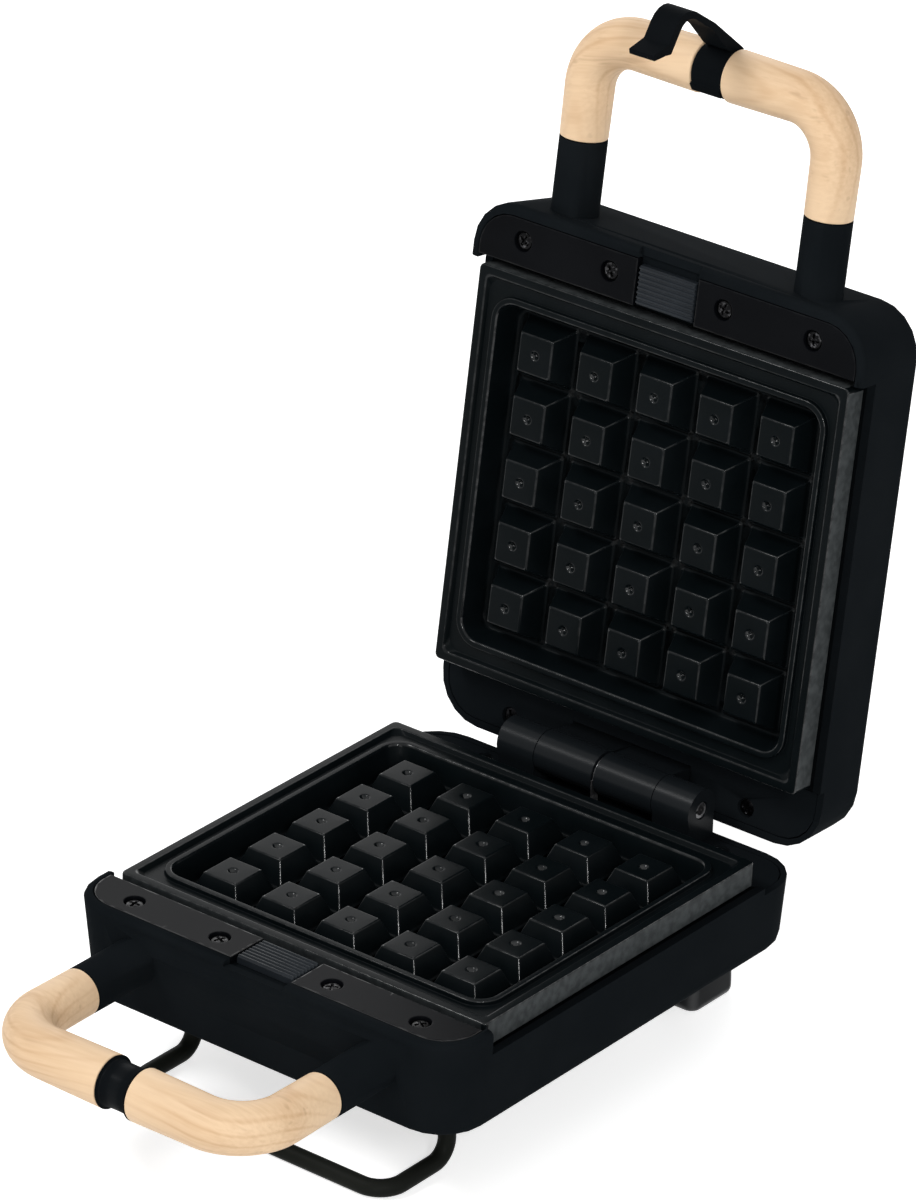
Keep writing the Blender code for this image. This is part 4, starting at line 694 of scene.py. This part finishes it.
def tube(points, ways, radius, sides=40):
    """Circle of a radius carried along a path, each kept square to it and turned as little as possible."""
    across = np.cross(ways[0], (0, 0, 1) if abs(ways[0][2]) < 0.9 else (1, 0, 0))
    turns = []
    for way in ways:
        across = across - way * (across @ way)
        across = across / np.linalg.norm(across)
        turns.append(across)
    across = np.array(turns)[:, None]
    other = np.cross(ways, across[:, 0])[:, None]
    angle = np.linspace(0, 2 * np.pi, sides, endpoint=False)[None, :, None]
    radius = np.broadcast_to(radius, len(points))[:, None, None]
    return points[:, None] + radius * (np.cos(angle) * across + np.sin(angle) * other)


def grip_skin(side, ring_x):
    """Half a grip: a circle carried from the arm's end round the bend to the ring, growing on the way, with
    quarter-round ends that carry the edge mark."""
    inner = ring_x + side * (RING_HALF + JOINT_GAP)
    points, ways = bent_path([(side * ARM_X, ARM_END - JOINT_GAP, -HANDLE_DROP),
                              (side * ARM_X, BAR_Y, -HANDLE_DROP), (inner, BAR_Y, -HANDLE_DROP)], (BEND,), 28)
    steps = np.linalg.norm(np.diff(points, axis=0), axis=1)
    share = np.concatenate([[0], np.cumsum(steps)]) / steps.sum()
    radius = ARM_RADIUS + (BAR_RADIUS - ARM_RADIUS) * share
    turn = np.linspace(0, np.pi / 2, 5)[:-1, None]
    inset, shrink = GRIP_EDGE * (1 - np.cos(turn)), GRIP_EDGE * (1 - np.sin(turn[:, 0]))
    first, last = points[:1] + ways[:1] * inset, points[-1:] - ways[-1:] * inset[::-1]
    points[0] += ways[0] * GRIP_EDGE
    points[-1] -= ways[-1] * GRIP_EDGE
    ends = len(turn)
    mark = np.concatenate([np.ones(ends + 1), np.zeros(len(points) - 2), np.ones(ends + 1)])
    points = np.concatenate([first, points, last])
    ways = np.concatenate([np.repeat(ways[:1], ends, axis=0), ways, np.repeat(ways[-1:], ends, axis=0)])
    radius = np.concatenate([radius[0] - shrink, radius, radius[-1] - shrink[::-1]])
    rows = tube(points, ways, radius)
    return capped(np.concatenate([rows, np.broadcast_to(mark[:, None, None], (*rows.shape[:2], 1))], axis=2))


def beech(name, turn, shift):
    """Sanded beech: growth rings along the piece's own board, which cross its height RINGS_PER_METRE times
    and wander with a slow noise, then fibres, brown streaks and short flecks, and paler cut ends."""
    material, shader, place = new_finish(name, roughness=0.5, specular=0.3)
    board = place.node("Mapping", {"vector_type": "POINT"},
                       {"Vector": place, "Location": shift, "Rotation": turn})

    def stretched(along, across, detail):
        """Noise with so many turns to the metre along the board and across it."""
        fitted = place.node("VectorMath", {"operation": "MULTIPLY"},
                            {"Vector": board, "Vector_001": (along, across, across)})
        return place.node("TexNoise", values={"Vector": fitted, "Scale": 1.0, "Detail": detail})

    course = place.node("SeparateXYZ", values={"Vector": board}, output=1) * RINGS_PER_METRE
    rings = place.math("PINGPONG", course + stretched(7.0, 22.0, 1.0) * 7.0, 0.5) * 2.0
    shade = stretched(5.0, 60.0, 2.0).clamped(0.3, 0.7)
    fibre = stretched(16.0, 900.0, 3.0)
    streak = stretched(8.0, 330.0, 2.0).clamped(0.63, 0.75)
    fleck = stretched(160.0, 2300.0, 1.0).clamped(0.70, 0.80)
    end = place.node("Attribute", {"attribute_name": "edge"}, output=2)
    paleness = 0.1 + rings.clamped(0.0, 0.45) * 0.3 + shade * 0.3 + fibre.clamped(0.25, 0.75) * 0.3
    colour = paleness.between(BEECH, BEECH_PALE)
    colour = (streak * 0.35 + fleck * 0.15).between(colour, BEECH_DARK)
    colour = (end * 0.6).between(colour, BEECH_PALE)
    bump = place.node("Bump", values={"Height": fibre, "Strength": 0.15, "Distance": 0.04 * MM})
    feed(shader, Base_Color=colour, Roughness=0.45 + fibre * 0.15, Normal=bump)
    return material


GRAIN = {
    # for each piece, the turn of its board in radians, and its place in the board
    ("base", "left"): ((1.35, 0.05, 0.10), (0.3, 0.1, 0.0)),
    ("base", "right"): ((1.80, 0.10, -0.08), (0.7, 0.4, 0.2)),
    ("lid", "left"): ((0.15, 0.10, 0.12), (0.1, 0.9, 0.5)),
    ("lid", "right"): ((-0.10, 0.20, -0.10), (0.5, 0.2, 0.8)),
}
for half, place in HALVES:
    for side, way in (("left", -1), ("right", 1)):
        wood = solid(f"{half}_wood_{side}", [grip_skin(way, RING_X[half])], place)
        finish = beech(f"beech_{half}_{side}", *GRAIN[half, side])
        finished(wood, finish, half, f"{half}_grip_{side}")


# Grip dowels: drawn steel rods in the drilled ends of each pair of grips. Ring and latch band hide them, so
# they stay as the CAD has them.
kept(bright, "base_grip_dowel", "lid_grip_dowel")


# Ring on the base's grip: turned black nylon over the joint of the two grips, waisted so that the hook of
# the latch clip sits in it.
RING_WAIST, RING_MIDDLE = 6.95, 6.75
RING_LIP, RING_FLARE, RING_BORE = 0.14, 0.55, 5.0
NYLON = (0.0040, 0.0050, 0.0060, 1)
NYLON_LIGHT = (0.0056, 0.0068, 0.0080, 1)


def turned(stations, sides=48):
    """Rows of circles about the X axis, one for each x, radius and edge mark."""
    angle = np.linspace(0, 2 * np.pi, sides, endpoint=False)
    x, radius, mark = np.asarray(stations, float).T[..., None]
    return np.stack(np.broadcast_arrays(x, radius * np.cos(angle), radius * np.sin(angle), mark), axis=-1)


nylon = moulded("nylon_black", NYLON, NYLON_LIGHT, roughness=0.55, specular=0.006,
                grain=3000.0, depth=0.012, coat=0.1)
waist = eased([(-RING_HALF, RING_BORE), (-RING_HALF, BAR_RADIUS), (-RING_HALF + RING_LIP, BAR_RADIUS),
               (-RING_HALF + RING_FLARE, RING_WAIST), (0.0, RING_MIDDLE),
               (RING_HALF - RING_FLARE, RING_WAIST), (RING_HALF - RING_LIP, BAR_RADIUS),
               (RING_HALF, BAR_RADIUS), (RING_HALF, RING_BORE)],
              (0.06, 0.06, 0.3, 2.4, 0.3, 0.06, 0.06), 0.6, 5)
ring = solid("waisted_ring", [capped(turned(waist)) + (RING_X["base"], BAR_Y, -HANDLE_DROP, 0)], BASE)
finished(ring, nylon, "base", "handle_ring")


# Latch clip: one moulding of the same black nylon. Its band turns on the lid's grip, and its hook snaps
# round the ring when the maker is shut.
clip = joined_copy("latch_hook", "latch_clip")
finished(clip, nylon, "latch", "latch_clip")


# Wire stand: steel wire with a black lacquer, bent into a loop that holds the front of the base off the
# table. Its two legs are pushed up into sockets of the bottom cover.
WIRE_RADIUS = 2.65
WIRE_LEG = (47.1, -53.0)
WIRE_FRONT, WIRE_BEND, WIRE_CORNER, WIRE_TOP = -81.0, 6.0, 8.0, -21.3
LACQUER = (0.0085, 0.0095, 0.0080, 1)
LACQUER_LIGHT = (0.0130, 0.0142, 0.0124, 1)

low = -STAND_HEIGHT + WIRE_RADIUS
leg_x, leg_y = WIRE_LEG
wire_path = bent_path([(-leg_x, leg_y, WIRE_TOP), (-leg_x, leg_y, low), (-leg_x, WIRE_FRONT, low),
                       (leg_x, WIRE_FRONT, low), (leg_x, leg_y, low), (leg_x, leg_y, WIRE_TOP)],
                      (WIRE_BEND, WIRE_CORNER, WIRE_CORNER, WIRE_BEND), 14)
wire = solid("wire_loop", [capped(tube(*wire_path, WIRE_RADIUS, 28))], BASE)
lacquer = moulded("wire_lacquer", LACQUER, LACQUER_LIGHT, roughness=0.4, specular=0.02,
                  grain=1500.0, depth=0.02)
finished(wire, lacquer, "base", "wire_stand")


# Rear feet: two blocks of grey-black rubber with rounded corners, a little wider at the table. A peg of each
# is pressed into the bottom cover.
FOOT = (41.0, 70.2)
FOOT_HALF = (8.3, 10.3)
FOOT_CORNER, FOOT_TOP, FOOT_TAPER, FOOT_SWELL = 3.5, 25.2, 0.9, 6.0
SOLE_INSET, NECK_INSET, INSET_CORNER = 4.0, 3.0, 1.0
RUBBER = (0.007, 0.008, 0.009, 1)
RUBBER_LIGHT = (0.013, 0.014, 0.015, 1)

foot_x, foot_y = FOOT_HALF
neck_x, neck_y = foot_x - FOOT_TAPER, foot_y - FOOT_TAPER
foot_rows = eased([(foot_x - SOLE_INSET, foot_y - SOLE_INSET, INSET_CORNER, 0.0),
                   (foot_x, foot_y, FOOT_CORNER, 0.0), (foot_x, foot_y, FOOT_CORNER, FOOT_SWELL),
                   (neck_x, neck_y, FOOT_CORNER, FOOT_TOP),
                   (neck_x - NECK_INSET, neck_y - NECK_INSET, INSET_CORNER, FOOT_TOP)],
                  (2.4, 2.5, 0.4), (0.8, 0.0, 0.0), 6)
foot_skin = capped(boxes(*foot_rows.T, 1.0, 8))
rubber = moulded("foot_rubber", RUBBER, RUBBER_LIGHT, roughness=0.5, specular=0.06,
                 grain=1200.0, depth=0.04, coat=0.8)
for side, x in (("left", -FOOT[0]), ("right", FOOT[0])):
    foot = solid(f"foot_{side}", [foot_skin + (x, FOOT[1], -STAND_HEIGHT, 0)], BASE)
    finished(foot, rubber, "base", f"rear_foot_{side}")


# Heating parts: in each half a tubular steel element under the plate, a tray of bright sheet that throws its
# heat back, and a bimetal thermostat. The plates hide them, so they stay as the CAD has them.
TRAY = (0.50, 0.50, 0.50, 1)
TRAY_LIGHT = (0.68, 0.68, 0.67, 1)

tray_sheet = sheet_steel("tray_sheet", TRAY, TRAY_LIGHT, roughness=0.36)
kept(tray_sheet, "base_heat_tray", "lid_heat_tray")
kept(bright, "base_heating_element", "lid_heating_element", "base_thermostat", "lid_thermostat")


# Wiring parts: a thermal fuse and a glazed ceramic terminal block in the base, and a rubber gland for the
# cord in its rear wall. They too stay as the CAD has them.
CERAMIC = (0.70, 0.68, 0.63, 1)
CERAMIC_LIGHT = (0.78, 0.76, 0.71, 1)

ceramic = moulded("ceramic_white", CERAMIC, CERAMIC_LIGHT, roughness=0.5, specular=0.5,
                  grain=900.0, depth=0.03)
kept(ceramic, "terminal_block")
kept(bright, "thermal_fuse")
kept(rubber, "cord_gland")


# Bottom cover: a flat moulding of the casing's plastic that closes the base from below, with seven vents and
# four steel screws. It stays as the CAD has it.
kept(shell_black, "bottom_cover")
kept(bright, *(f"cover_screw_{index + 1}" for index in range(4)))
